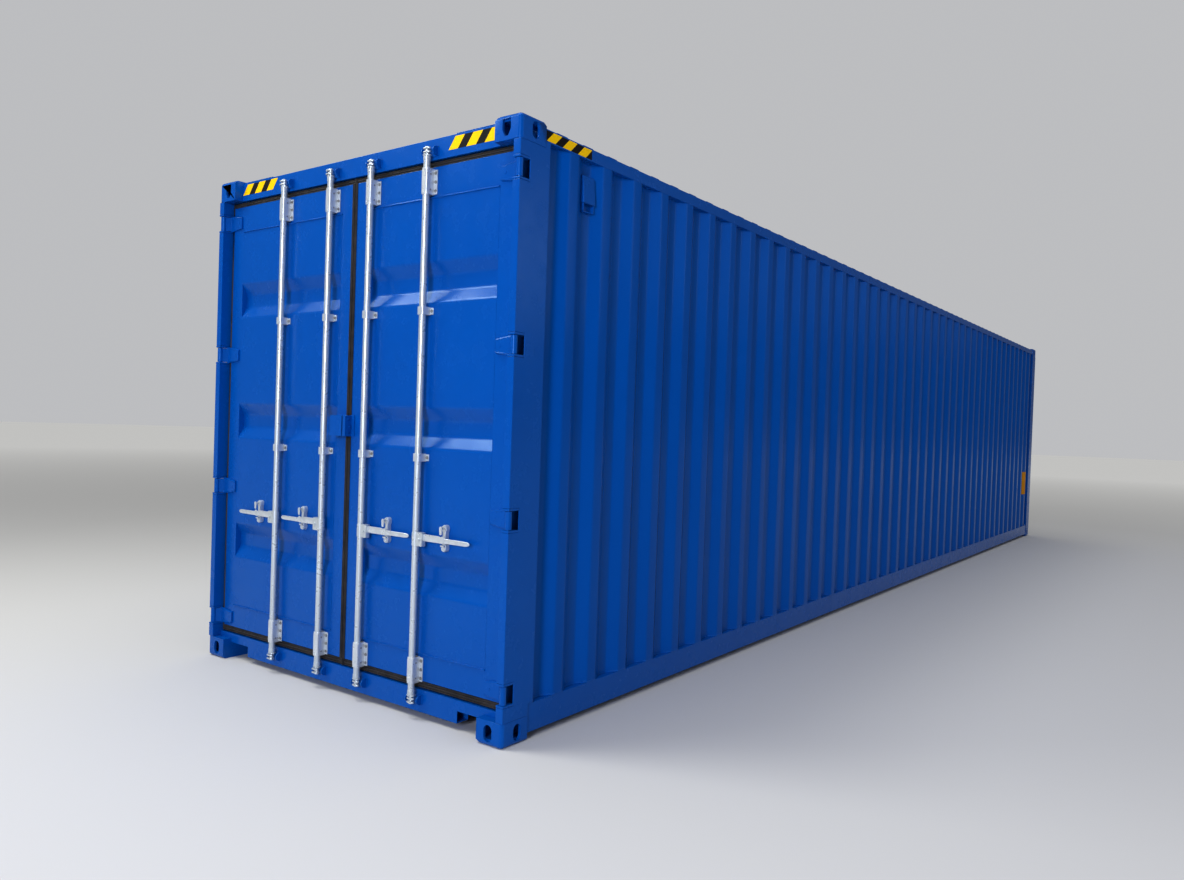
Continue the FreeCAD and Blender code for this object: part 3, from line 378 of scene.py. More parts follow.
def board_material():
    material, tree, shader = new_material("floor_board", Specular_IOR_Level=0.4)
    link = tree.links.new
    stretch = add_node(tree, "ShaderNodeMapping")
    stretch.inputs["Scale"].default_value = (1.2, 22, 22)
    link(object_place(tree), stretch.inputs["Vector"])
    grain = ramp(tree, noise_node(tree, stretch.outputs["Vector"], 3.0, 8, 0.65), 0.3, 0.7)
    link(mix_colour(tree, grain, (0.30, 0.14, 0.065, 1), (0.17, 0.075, 0.035, 1)),
         shader.inputs["Base Color"])
    link(ramp(tree, grain, 0.0, 1.0, 0.42, 0.62), shader.inputs["Roughness"])
    link(bump_node(tree, grain, 0.3, 0.0008), shader.inputs["Normal"])
    return material


BOARD = board_material()
print("materials", len(bpy.data.materials))

# %% [markdown]
# ## Making pieces
# Every piece is one mesh at the origin. These helpers grow a bmesh from Blender's own starter shapes
# and turn it into an object that rides on a body. Shading stays crisp at sharp edges, and a weighted
# normal keeps flat steel flat beside its rounded bends.

# %% Mesh helpers
SHARP = math.radians(40)


def finish_piece(name, bm, body, slot, *materials):
    """Turn a bmesh into a smooth-shaded piece that rides on a body."""
    for face in bm.faces:
        face.smooth = True
    for edge in bm.edges:
        if len(edge.link_faces) != 2 or edge.calc_face_angle(0.0) > SHARP:
            edge.smooth = False
    mesh = bpy.data.meshes.new(name)
    bm.to_mesh(mesh)
    bm.free()
    piece = bpy.data.objects.new(name, mesh)
    bpy.context.scene.collection.objects.link(piece)
    for material in materials:
        mesh.materials.append(material)
    shading = piece.modifiers.new("even_shading", "WEIGHTED_NORMAL")
    shading.keep_sharp = True
    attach(piece, body)
    return piece


def bevel(bm, edges, radius, segments=2, clamp=True):
    bmesh.ops.bevel(bm, geom=edges, offset=radius, segments=segments, profile=0.5,
                    affect="EDGES", material=-1, clamp_overlap=clamp)


def block(bm, low, high, radius=0.0, segments=2):
    """A box from its two corners, its edges rounded."""
    low, high = Vector(low), Vector(high)
    made = bmesh.ops.create_cube(bm, size=1.0, matrix=Matrix.Translation((low + high) / 2)
                                 @ Matrix.Diagonal((*(high - low), 1)))
    if radius:
        bevel(bm, list({e for v in made["verts"] for e in v.link_edges}), radius, segments)


def tube(bm, start, end, radius, sides=24, chamfer=0.0, end_radius=None):
    """A solid round bar from start to end, its rims rounded."""
    start, end = Vector(start), Vector(end)
    line = end - start
    turn = line.to_track_quat("Z", "Y").to_matrix().to_4x4()
    made = bmesh.ops.create_cone(
        bm, cap_ends=True, segments=sides, radius1=radius,
        radius2=radius if end_radius is None else end_radius, depth=line.length,
        matrix=Matrix.Translation((start + end) / 2) @ turn)
    if chamfer:
        faces = {f for v in made["verts"] for f in v.link_faces}
        rims = {e for f in faces if len(f.verts) == sides for e in f.edges}
        bevel(bm, list(rims), chamfer, 2)


def bolt(bm, place, direction, radius, height):
    """A hexagon head on its washer."""
    place, direction = Vector(place), Vector(direction).normalized()
    tube(bm, place, place + direction * height * 0.25, radius * 1.4, 16)
    tube(bm, place + direction * height * 0.25, place + direction * height, radius, 6,
         chamfer=radius * 0.15)


def prism(bm, outline, along, radius=0.0):
    """A flat outline pushed along a vector, its edges rounded."""
    face = bm.faces.new([bm.verts.new(p) for p in outline])
    pushed = bmesh.ops.extrude_face_region(bm, geom=[face])
    top = [v for v in pushed["geom"] if isinstance(v, bmesh.types.BMVert)]
    bmesh.ops.translate(bm, verts=top, vec=along)
    faces = {f for v in top for f in v.link_faces} | {face}
    bmesh.ops.recalc_face_normals(bm, faces=list(faces))
    if radius:
        bevel(bm, list({e for f in faces for e in f.edges}), radius)


def sweep(bm, points, radius, sides=8, wobble=0.0):
    """A round rod along a path; wobble makes it lumpy, as a weld is."""
    rings = []
    points = [Vector(p) for p in points]
    for i, point in enumerate(points):
        ahead = points[min(i + 1, len(points) - 1)] - points[max(i - 1, 0)]
        turn = ahead.to_track_quat("Z", "Y").to_matrix()
        swell = 1 + wobble * noise.noise(point * 90)
        rings.append([bm.verts.new(point + turn @ Vector((
            math.cos(2 * math.pi * k / sides), math.sin(2 * math.pi * k / sides), 0))
            * radius * swell) for k in range(sides)])
    for one, two in zip(rings, rings[1:]):
        for k in range(sides):
            bm.faces.new((one[k], one[(k + 1) % sides], two[(k + 1) % sides], two[k]))
    bm.faces.new(list(reversed(rings[0])))
    bm.faces.new(rings[-1])


def stepped(points, step):
    """The same path with points no further apart than a step."""
    path = [Vector(points[0])]
    for target in points[1:]:
        start, target = path[-1].copy(), Vector(target)
        count = max(1, math.ceil((target - start).length / step))
        path += [start.lerp(target, i / count) for i in range(1, count + 1)]
    return path


def merge(bm, other):
    """Move another bmesh's faces into this one."""
    held = bpy.data.meshes.new("held")
    other.to_mesh(held)
    other.free()
    bm.from_mesh(held)
    bpy.data.meshes.remove(held)


def copy_of(node):
    """A node's mesh with its flat faces joined up again."""
    bm = bmesh.new()
    bm.from_mesh(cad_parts[node].data)
    bmesh.ops.remove_doubles(bm, verts=bm.verts, dist=1e-5)
    bmesh.ops.dissolve_limit(bm, angle_limit=math.radians(1.0), verts=bm.verts, edges=bm.edges)
    return bm


LONG_EDGE = 0.02


def angled_edges(bm, degrees):
    """The edges between two faces that meet at more than an angle."""
    return [e for e in bm.edges
            if len(e.link_faces) == 2 and e.calc_face_angle(0.0) > math.radians(degrees)]


def round_corners(bm, radius, rim=0.0):
    """Round long sharp edges by a radius, then the short ones round holes by a rim."""
    bevel(bm, [e for e in angled_edges(bm, 30) if e.calc_length() > LONG_EDGE], radius)
    if rim:
        bevel(bm, [e for e in angled_edges(bm, 55) if e.calc_length() <= LONG_EDGE], rim, 1)


def replace(node, name, bm, body, slot, *materials):
    """Finish a new mesh and let it stand in for a CAD node."""
    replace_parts(finish_piece(name, bm, body, slot, *materials), node)


def dress(node, body, radius, rim=0.0):
    """Put a rounded, painted copy in a CAD node's place."""
    bm = copy_of(node)
    round_corners(bm, radius, rim)
    replace(node, node + "_finished", bm, body, "blue_paint", BLUE)


# %% [markdown]
# ## The frame
# Castings, posts and rails are thick steel with rounded bends. A copy of each CAD part gets its
# corners bevelled: cast corners a lot, pressed and rolled ones a little.

# %% Castings, posts and rails
CASTING_LONG, CASTING_WIDE, CASTING_ROUNDING = 0.178, 0.162, 0.020
STEEL_ROUNDING = {
    "door_posts": 0.005, "front_posts": 0.005, "bottom_side_rails": 0.0018,
    "top_side_rails": 0.006, "door_header": 0.004, "door_sill": 0.004, "front_header": 0.005,
    "front_sill": 0.003, "gooseneck_tunnel": 0.0015, "roof_end_plates": 0.001,
    "roof_corner_plates": 0.0015, "hinge_lugs": 0.003,
}
for node, radius in STEEL_ROUNDING.items():
    dress(node, "container", radius, rim=0.001 if node.endswith("posts") else 0.0)
print("dressed", len(STEEL_ROUNDING), "steel nodes")


def on_outer_planes(edge):
    """How many of the box's outer planes an edge lies on."""
    planes = 0
    for axis in range(3):
        for bound in (cad_low[axis], cad_high[axis]):
            planes += all(abs(v.co[axis] - bound) < 1e-4 for v in edge.verts)
    return planes


for node in ("castings_bottom", "castings_top"):
    bm = copy_of(node)
    sharp = angled_edges(bm, 57)
    outer = [e for e in sharp if on_outer_planes(e) == 2]
    rims = [e for e in sharp if on_outer_planes(e) == 1 and e.calc_length() < 0.07
            and not any(f in o.link_faces for o in outer for f in e.link_faces
                        if len(f.verts) == 4)]
    bevel(bm, outer, CASTING_ROUNDING, 6, clamp=False)
    bevel(bm, [e for e in rims if e.is_valid], 0.003)
    replace(node, node + "_cast", bm, "container", "blue_paint", BLUE)

# %% [markdown]
# ## Pressed sheets
# Wall and roof sheets are folded on a press brake, so each bend has a radius of about four sheet
# thicknesses. Only edges between two wide faces are bends: the cut edge of the sheet stays square.

# %% Walls, roof and door panels
def press(node, body, bend, paint):
    bm = copy_of(node)
    bends = []
    for edge in angled_edges(bm, 12):
        long = edge.calc_length()
        if long > 0.5 and all(f.calc_area() > 0.01 * long and len(f.verts) < 12
                              for f in edge.link_faces):
            bends.append(edge)
    bevel(bm, bends, bend)
    replace(node, node + "_pressed", bm, body, "blue_paint", paint)
    return len(bends)


for node, bend in (("side_wall_left", 0.009), ("side_wall_right", 0.009), ("front_wall", 0.012),
                   ("roof", 0.009)):
    print(node, "has", press(node, "container", bend, BLUE_SHEET), "bend lines")
for side in ("left", "right"):
    print("door panel", side, "has", press("leaf_panel_" + side, "leaf_" + side, 0.010, BLUE),
          "bend lines")

# %% [markdown]
# ## Welds
# Sheets meet the rails in a hand-run fillet weld. It is a lumpy cord of metal that follows the folds
# along the foot of each wall. The fold line is read from the wall's own mesh.

# %% Weld beads
def fold_line(node, axis, outward):
    """The outline of a wall's outer skin: [(along, out)] in order, from its lowest points."""
    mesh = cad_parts[node].data
    across = 1 - axis
    low = min(v.co.z for v in mesh.vertices) + 0.001
    skin = {}
    for v in mesh.vertices:
        if v.co.z < low:
            key = round(v.co[axis], 4)
            if key not in skin or v.co[across] * outward > skin[key] * outward:
                skin[key] = v.co[across]
    return sorted(skin.items())


WALL_LOW, WALL_TOP = (corner.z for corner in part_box("side_wall_right"))
fold_lines = {}
bead = bmesh.new()
for node, outward in (("side_wall_left", 1), ("side_wall_right", -1)):
    fold_lines[node] = fold_line(node, 0, outward)
    for z, step, size in ((WALL_LOW + 0.003, 0.014, 0.0065), (WALL_TOP - 0.002, 0.05, 0.003)):
        path = stepped([(x, y - outward * 0.004, z) for x, y in fold_lines[node]], step)
        sweep(bead, path, size, sides=6, wobble=0.6)
front_line = fold_line("front_wall", 1, 1)
for z in (WALL_LOW + 0.002, WALL_TOP - 0.002):
    sweep(bead, stepped([(x + 0.001, y, z) for y, x in front_line], 0.05), 0.003, 6, 0.6)

post_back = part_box("door_posts")[1].x
for side in (-1, 1):
    y_wall = fold_lines["side_wall_left"][0][1] * side
    sweep(bead, stepped([(post_back + 0.001, y_wall, WALL_LOW),
                         (post_back + 0.001, y_wall, WALL_TOP)], 0.03), 0.0045, 6, 0.6)
    sweep(bead, stepped([(post_back, side * (HALF_WIDTH - 0.0085), WALL_LOW),
                         (post_back, side * (HALF_WIDTH - 0.0085), WALL_TOP)], 0.03), 0.005, 6, 0.5)
for castings in ("castings_bottom", "castings_top"):
    low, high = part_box(castings)
    z, lean = (high.z, 0.0015) if castings == "castings_bottom" else (low.z, -0.0015)
    for end, reach in ((DOOR_END, CASTING_LONG), (FRONT_END, -CASTING_LONG)):
        for side in (-1, 1):
            x_face, y_face = end + math.copysign(0.007, reach), side * (HALF_WIDTH - 0.007)
            corner = [(end + reach, y_face, z + lean), (x_face, y_face, z + lean),
                      (x_face, side * (HALF_WIDTH - 0.044), z + lean)]
            sweep(bead, stepped(corner, 0.015), 0.0042, 6, 0.5)
finish_piece("weld_beads", bead, "container", "blue_paint", BLUE)
print("fold points on a side wall", len(fold_lines["side_wall_left"]))

# %% [markdown]
# ## Height-warning stripes and the amber patch
# A container of this height wears yellow and black bars beside its top castings. The bars are paint,
# so each is a skin that lies half a millimetre proud of the header or of the rail.

# %% Stripes
PAINT_SKIN = 0.0005
BAR_WIDE, BAR_PITCH, RAIL_LEAN, HEADER_LEAN = 0.064, 0.120, 0.050, 0.046


def skin_quad(bm, corners, outward, index=0):
    """A four-cornered skin of paint that faces outward."""
    face = bm.faces.new([bm.verts.new(c) for c in corners])
    face.normal_update()
    if face.normal.dot(Vector(outward)) < 0:
        face.normal_flip()
    face.material_index = index


stripes = bmesh.new()
head_low, head_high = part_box("door_header")
band_low, band_high = head_low.z + 0.034, head_high.z - 0.010
casting_in = HALF_WIDTH - CASTING_WIDE - 0.003
x = head_low.x - PAINT_SKIN
for side in (-1, 1):
    foot_lean, head_lean = (0.0, -HEADER_LEAN) if side > 0 else (HEADER_LEAN, 0.0)
    for i in range(3):
        near = side * (casting_in - i * BAR_PITCH)
        far, following = near - side * BAR_WIDE, near - side * BAR_PITCH
        for one, two, colour in ((near, far, 0), (far, following, 1))[:2 if i < 2 else 1]:
            skin_quad(stripes, [(x, one + foot_lean, band_low), (x, two + foot_lean, band_low),
                                (x, two + head_lean, band_high), (x, one + head_lean, band_high)],
                      (-1, 0, 0), colour)

rail_low, rail_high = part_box("top_side_rails")
stripe_low, stripe_high = rail_low.z + 0.006, rail_high.z - 0.006
for side in (-1, 1):
    y = side * (rail_high.y + PAINT_SKIN)
    start = DOOR_END + CASTING_LONG
    marks = [start]
    for i in range(3):
        marks += [start + 0.008 + i * BAR_PITCH, start + 0.008 + i * BAR_PITCH + BAR_WIDE]
    marks.append(start + 3 * BAR_PITCH + 0.002)
    for i, (one, two) in enumerate(zip(marks, marks[1:])):
        lean_one = RAIL_LEAN if 0 < i else 0.0
        lean_two = RAIL_LEAN if i < len(marks) - 2 else 0.0
        skin_quad(stripes, [(one, y, stripe_low), (two, y, stripe_low),
                            (two + lean_two, y, stripe_high), (one + lean_one, y, stripe_high)],
                  (0, side, 0), 0 if i % 2 else 1)
finish_piece("hazard_stripes", stripes, "container", "blue_paint", YELLOW, BLACK)

patch = bmesh.new()
PATCH_LOW, PATCH_HIGH, PATCH_FROM, PATCH_TO = 0.66, 1.0, 5.45, 5.87
line = [(x, y - 0.0012) for x, y in fold_lines["side_wall_right"] if PATCH_FROM < x < PATCH_TO]
for (x1, y1), (x2, y2) in zip(line, line[1:]):
    skin_quad(patch, [(x1, y1, PATCH_LOW), (x2, y2, PATCH_LOW), (x2, y2, PATCH_HIGH),
                      (x1, y1, PATCH_HIGH)], (0, -1, 0))
finish_piece("amber_patch", patch, "container", "blue_paint", AMBER)

# %% [markdown]
# ## Ventilator covers
# A shallow hood is welded in a trough of each wall. Its foot is open and dark, with cheeks at the
# sides and a small drip lip below.

# %% Ventilators
vents = bmesh.new()
vent_low, vent_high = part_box("ventilators")
hood_low = vent_low.z + 0.042
for side in (-1, 1):
    own = [v.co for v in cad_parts["ventilators"].data.vertices if v.co.y * side > 0]
    x1, x2 = min(c.x for c in own), max(c.x for c in own)
    y_in, y_out = min(abs(c.y) for c in own), max(abs(c.y) for c in own)
    top = bmesh.new()
    prism(top, [(x1, side * y_in, hood_low), (x1, side * y_out, hood_low),
                (x1, side * (y_out - 0.010), vent_high.z), (x1, side * y_in, vent_high.z)],
          (x2 - x1, 0, 0))
    bevel(top, list(top.edges), 0.004, 3)
    merge(vents, top)
    y1, y2 = sorted((side * (y_in + 0.006), side * (y_out - 0.006)))
    for x in (x1 + 0.006, x2 - 0.009):
        block(vents, (x, y1, vent_low.z + 0.004), (x + 0.003, y2, hood_low + 0.01), 0.001)
    y1, y2 = sorted((side * y_in, side * (y_out - 0.010)))
    block(vents, (x1 + 0.012, y1, vent_low.z), (x2 - 0.012, y2, vent_low.z + 0.006), 0.002)
replace("ventilators", "ventilator_covers", vents, "container", "blue_paint", BLUE)

# %% [markdown]
# ## Floor and under-frame
# Plywood sheets lie across the box on pressed cross members, with a narrow joint between them. Rows
# of screws hold them down.

# %% Boards and cross members
floor_low, floor_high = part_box("floor")
boards = bmesh.new()
BOARD_COUNT = 10
for row in range(BOARD_COUNT):
    for half in (0, 1):
        x1 = floor_low.x + (floor_high.x - floor_low.x) * row / BOARD_COUNT
        x2 = floor_low.x + (floor_high.x - floor_low.x) * (row + 1) / BOARD_COUNT
        y1, y2 = (0.001, floor_high.y) if half else (floor_low.y, -0.001)
        block(boards, (x1 + 0.001, y1, floor_low.z), (x2 - 0.001, y2, floor_high.z), 0.0015, 1)
replace("floor", "floor_boards", boards, "container", "floor_board", BOARD)
screws = bmesh.new()
SCREW_ROWS, SCREWS_ACROSS = 40, 8
for row in range(SCREW_ROWS):
    x = floor_low.x + 0.06 + (floor_high.x - floor_low.x - 0.12) * row / (SCREW_ROWS - 1)
    for i in range(SCREWS_ACROSS):
        y = floor_low.y + 0.09 + (floor_high.y - floor_low.y - 0.18) * i / (SCREWS_ACROSS - 1)
        tube(screws, (x, y, floor_high.z - 0.003), (x, y, floor_high.z + 0.0008), 0.006, 10)
finish_piece("floor_screws", screws, "container", "zinc_steel", ZINC)
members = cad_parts["cross_members"].data
members.materials.clear()
members.materials.append(BLUE)

# %% [markdown]
# ## Door leaves
# Both leaves are alike but for the lock box, so each piece is built for the left leaf and mirrored
# for the right. The rubber has three ribs that run round the leaf, and a steel strip inside holds it.

# %% Leaves and seals
def both_hands(build, name, node, body, slot, *materials):
    """Build a piece for the left leaf and its mirror image for the right."""
    for side in ("left", "right"):
        bm = bmesh.new()
        build(bm)
        if side == "right":
            bmesh.ops.scale(bm, vec=(1, -1, 1), verts=bm.verts)
            bmesh.ops.reverse_faces(bm, faces=bm.faces)
        piece = finish_piece(name.replace("SIDE", side), bm, body.replace("SIDE", side), slot,
                             *materials)
        if node:
            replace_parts(piece, node.replace("SIDE", side))


leaf_low, leaf_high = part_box("leaf_frame_left")
panel_low, panel_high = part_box("leaf_panel_left")
seal_low, seal_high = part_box("leaf_seal_left")
lock_low, lock_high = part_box("lock_box_left")
LEAF_FACE = leaf_low.x
for side in ("left", "right"):
    dress("leaf_frame_" + side, "leaf_" + side, 0.0025)


def leaf_seams(bm):
    """The welds that join the pressed panel to its frame."""
    x = LEAF_FACE - 0.0015
    for z in (panel_low.z, panel_high.z):
        sweep(bm, stepped([(x, panel_low.y, z), (x, panel_high.y, z)], 0.02), 0.0042, 8, 0.5)
    for y in (panel_low.y, panel_high.y):
        sweep(bm, stepped([(leaf_high.x - 0.012, y, panel_low.z),
                           (leaf_high.x - 0.012, y, panel_high.z)], 0.05), 0.0016, 6, 0.5)


both_hands(leaf_seams, "leaf_seams_SIDE", None, "leaf_SIDE", "blue_paint", BLUE)


def seal(bm):
    """The gasket: the CAD strip, three ribs round it, and ribs on the cover strip."""
    base = copy_of("leaf_seal_left")
    round_corners(base, 0.0015)
    merge(bm, base)
    x = leaf_low.x + 0.0075
    jamb = (leaf_high.y, seal_high.y)
    foot = (leaf_low.z, seal_low.z)
    head = (leaf_high.z, seal_high.z)
    for share, size in ((0.16, 0.0035), (0.52, 0.005), (0.86, 0.0035)):
        y = jamb[0] + (jamb[1] - jamb[0]) * share
        low = foot[0] + (foot[1] - foot[0]) * share
        top = head[0] + (head[1] - head[0]) * share
        loop = [(x, leaf_low.y + 0.002, low), (x, y, low), (x, y, top), (x, leaf_low.y + 0.002, top)]
        sweep(bm, stepped(loop, 0.4), size)
    x = seal_low.x - 0.0006
    for y in (0.0070, 0.0165):
        for low, top in ((leaf_low.z, lock_low.z - 0.002), (lock_high.z + 0.002, leaf_high.z)):
            sweep(bm, [(x, y, low), (x, y, top)], 0.0026)


both_hands(seal, "seal_SIDE", "leaf_seal_SIDE", "leaf_SIDE", "door_rubber", RUBBER)


def retaining_strip(bm):
    """Steel strip and rivets that hold the gasket against the leaf from inside."""
    x = leaf_high.x
    y1, y2 = leaf_low.y + 0.006, leaf_high.y + 0.012
    z1, z2 = leaf_low.z - 0.012, leaf_high.z + 0.010
    wide, upright, across = 0.034, 13, 6
    block(bm, (x, y2 - wide, z1), (x + 0.002, y2, z2), 0.0006, 1)
    for z in (z1, z2 - wide):
        block(bm, (x, y1, z), (x + 0.002, y2 - wide, z + wide), 0.0006, 1)
    rivets = [(y2 - wide * 0.6, z1 + 0.06 + (z2 - z1 - 0.12) * i / (upright - 1))
              for i in range(upright)]
    rivets += [(y1 + 0.06 + (y2 - wide - y1 - 0.12) * i / (across - 1), z)
               for i in range(across) for z in (z1 + wide / 2, z2 - wide / 2)]
    for y, z in rivets:
        tube(bm, (x + 0.001, y, z), (x + 0.004, y, z), 0.0055, 12, end_radius=0.0035)


both_hands(retaining_strip, "seal_strip_SIDE", None, "leaf_SIDE", "zinc_steel", ZINC)

# %% [markdown]
# ## Hinges
# Each blade is welded flat on the leaf and ends in a round knuckle. A bead runs along its upper and
# lower edges, and three plug welds hold its middle.

# %% Hinge blades
blade_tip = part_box("hinge_blades_left")[0].y
blades_apart = []
for z in sorted({round(v.co.z, 3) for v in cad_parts["hinge_blades_left"].data.vertices}):
    if not blades_apart or z - blades_apart[-1][-1] > 0.2:
        blades_apart.append([])
    blades_apart[-1].append(z)
HINGE_LEVELS = [(heights[0] + heights[-1]) / 2 for heights in blades_apart]
print("hinges at", [round(z, 3) for z in HINGE_LEVELS])


def blades(bm):
    base = copy_of("hinge_blades_left")
    round_corners(base, 0.0035)
    merge(bm, base)
    root, weld = HALF_WIDTH - 0.052, LEAF_FACE - 0.004
    for z in HINGE_LEVELS:
        for way in (-1, 1):
            sweep(bm, stepped([(weld, root + 0.01, z + way * 0.043), (weld, root, z + way * 0.043),
                               (weld, blade_tip, z + way * 0.028)], 0.010), 0.0062, wobble=0.6)
        for y, up in ((root - 0.02, -0.018), (root - 0.02, 0.018), (blade_tip + 0.028, 0.0)):
            tube(bm, (LEAF_FACE - 0.0095, y, z + up), (LEAF_FACE - 0.0118, y, z + up), 0.007, 16,
                 0.0006)


both_hands(blades, "hinges_SIDE", "hinge_blades_SIDE", "leaf_SIDE", "blue_paint", BLUE)

# %% [markdown]
# ## Bearings, cams and keepers
# A bar turns in four housings. The two long ones have a collar at each end. At each end of the bar a
# forged cam with two prongs turns between the keeper's rounded ears.

# %% Locking bars and their housings
BARS = ("inner", "outer")
BAR_X, BAR_RADIUS = DOOR_END + 0.020, 0.017
CATCH_REACH = 0.185
GUIDE_LEVELS = (1.305, 2.032)
HUB_LOW, HUB_LEVEL, HUB_HIGH = 0.867, 0.902, 0.937
bar_low, bar_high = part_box("bar_left_inner")
bearing_low, bearing_high = (corner.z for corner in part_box("bar_brackets_left"))
LONG_BEARINGS = ((bearing_low, bearing_low + 0.130), (bearing_high - 0.130, bearing_high))
bar_y = {which: sum(c.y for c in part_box("catch_left_" + which)) / 2 - CATCH_REACH
         for which in BARS}
print("bars at", {k: round(v, 4) for k, v in bar_y.items()})


def ring_prism(bm, outer, inner, low, high, radius=0.0):
    """A tall ring between two outlines of (x, y) points."""
    walls = []
    for z in (low, high):
        walls.append([[bm.verts.new((x, y, z)) for x, y in line] for line in (outer, inner)])
    (outer_low, inner_low), (outer_top, inner_top) = walls
    made = []
    for i in range(len(outer)):
        j = (i + 1) % len(outer)
        made += [bm.faces.new((outer_low[i], outer_low[j], outer_top[j], outer_top[i])),
                 bm.faces.new((inner_low[j], inner_low[i], inner_top[i], inner_top[j])),
                 bm.faces.new((outer_top[i], outer_top[j], inner_top[j], inner_top[i])),
                 bm.faces.new((outer_low[j], outer_low[i], inner_low[i], inner_low[j]))]
    if radius:
        rim = [e for e in {e for f in made for e in f.edges}
               if all(v in outer_top for v in e.verts) or all(v in outer_low for v in e.verts)]
        bevel(bm, rim, radius, 1)


def housing(bm, y, low, high, outer_radius, square=0.5):
    """A U-shaped shell from the plate round the bar, a little wider than deep, with a bore."""
    def outline(radius, back, square=1.0, wide=1.0):
        front = []
        for a in (math.radians(90 + 15 * i) for i in range(13)):
            c, t = math.cos(a), math.sin(a)
            front.append((BAR_X + radius * math.copysign(abs(c) ** square, c),
                          y + wide * radius * math.copysign(abs(t) ** square, t)))
        return front + [(back, y - wide * radius), (back, y + wide * radius)]
    ring_prism(bm, outline(outer_radius, LEAF_FACE - 0.005, square, 1.12),
               outline(BAR_RADIUS + 0.0002, LEAF_FACE - 0.007), low, high, 0.0008)


def bearings(bm):
    for y in bar_y.values():
        for low, high in LONG_BEARINGS:
            housing(bm, y, low + 0.010, high - 0.010, 0.0186)
            for z, tall in ((low, 0.012), (low + 0.026, 0.006), (high - 0.012, 0.012)):
                housing(bm, y, z, z + tall, 0.0199, 0.8)
            block(bm, (LEAF_FACE - 0.006, y - 0.042, low + 0.004),
                  (LEAF_FACE, y + 0.042, high - 0.004), 0.0025)
        for middle in GUIDE_LEVELS:
            housing(bm, y, middle - 0.020, middle + 0.020, 0.0193)
            block(bm, (LEAF_FACE - 0.005, y - 0.040, middle - 0.017),
                  (LEAF_FACE, y + 0.040, middle + 0.017), 0.002)


def bearing_bolts(bm):
    """Hexagon heads on every bearing plate, and rivets in the long housings."""
    for y in bar_y.values():
        for low, high in LONG_BEARINGS:
            middle = (low + high) / 2
            for across in (-0.0315, 0.0315):
                for up in (-0.044, 0.0, 0.044):
                    bolt(bm, (LEAF_FACE - 0.0058, y + across, middle + up), (-1, 0, 0), 0.006,
                         0.006)
            for up in (-0.040, 0.036):
                for way in (-1, 1):
                    tube(bm, (BAR_X + 0.008, y + way * 0.0206, middle + up),
                         (BAR_X + 0.008, y + way * 0.0226, middle + up), 0.0045, 12, 0.0006)
        for middle in GUIDE_LEVELS:
            for across in (-0.030, 0.030):
                bolt(bm, (LEAF_FACE - 0.0048, y + across, middle), (-1, 0, 0), 0.006, 0.006)


both_hands(bearing_bolts, "bearing_bolts_SIDE", None, "leaf_SIDE", "zinc_steel", BOLT_ZINC)
both_hands(bearings, "bearings_SIDE", "bar_brackets_SIDE", "leaf_SIDE", "zinc_steel", CAST_ZINC)

CAM = ((-0.010, -0.0185), (-0.0165, -0.012), (-0.0190, 0.004), (-0.0180, 0.021), (-0.0125, 0.0275),
       (-0.0050, 0.0290), (-0.0040, 0.0215), (0.003, 0.0180), (0.0095, 0.011), (0.012, 0.0),
       (0.008, -0.012))


def locking_bar(which):
    def build(bm):
        y = bar_y[which]
        low, high = bar_low.z + 0.006, bar_high.z - 0.006
        tube(bm, (BAR_X, y, low + 0.034), (BAR_X, y, high - 0.034), BAR_RADIUS, 32, 0.0020)
        flange = [(BAR_X + 0.0192 * math.cos(a), y + 0.024 * math.sin(a))
                  for a in (2 * math.pi * k / 24 for k in range(24))]
        cam = [(BAR_X + x, y + dy) for x, dy in CAM]
        for start, way in ((low, 1), (high, -1)):
            tube(bm, (BAR_X, y, start - way * 0.006), (BAR_X, y, start + way * 0.036), 0.0115, 20,
                 0.0025)
            for near, far, outline, rounding in ((0.0, 0.009, cam, 0.0022),
                                                 (0.019, 0.028, cam, 0.0022),
                                                 (0.034, 0.040, flange, 0.0015)):
                z1, z2 = sorted((start + way * near, start + way * far))
                prism(bm, [(a, b, z1) for a, b in outline], (0, 0, z2 - z1), rounding)
            z1, z2 = sorted((start + way * 0.040, start + way * 0.062))
            tube(bm, (BAR_X, y, z1), (BAR_X, y, z2), 0.0190, 24, 0.0015)
        block(bm, (BAR_X - 0.014, y - 0.002, HUB_LOW), (BAR_X + 0.014, y + 0.057, HUB_HIGH), 0.004)
        tube(bm, (BAR_X, y, HUB_LOW + 0.001), (BAR_X, y, HUB_HIGH - 0.001), 0.0197, 28, 0.002)
        bolt(bm, (BAR_X - 0.0138, y + 0.038, HUB_LEVEL), (-1, 0, 0), 0.0075, 0.0055)
        bolt(bm, (BAR_X + 0.0138, y + 0.038, HUB_LEVEL), (1, 0, 0), 0.0075, 0.007)
    return build


def loft(bm, sections, sides=16, power=0.7):
    """A lever: rounded sections of (y, z, half height, half thickness) joined up."""
    rings = []
    for y, z, high, thick in sections:
        ring = []
        for k in range(sides):
            c, s = math.cos(2 * math.pi * k / sides), math.sin(2 * math.pi * k / sides)
            ring.append(bm.verts.new((HANDLE_MIDDLE + thick * math.copysign(abs(c) ** power, c), y,
                                      z + high * math.copysign(abs(s) ** power, s))))
        rings.append(ring)
    for one, two in zip(rings, rings[1:]):
        for k in range(sides):
            bm.faces.new((one[(k + 1) % sides], one[k], two[k], two[(k + 1) % sides]))
    bm.faces.new(rings[0])
    bm.faces.new(list(reversed(rings[-1])))


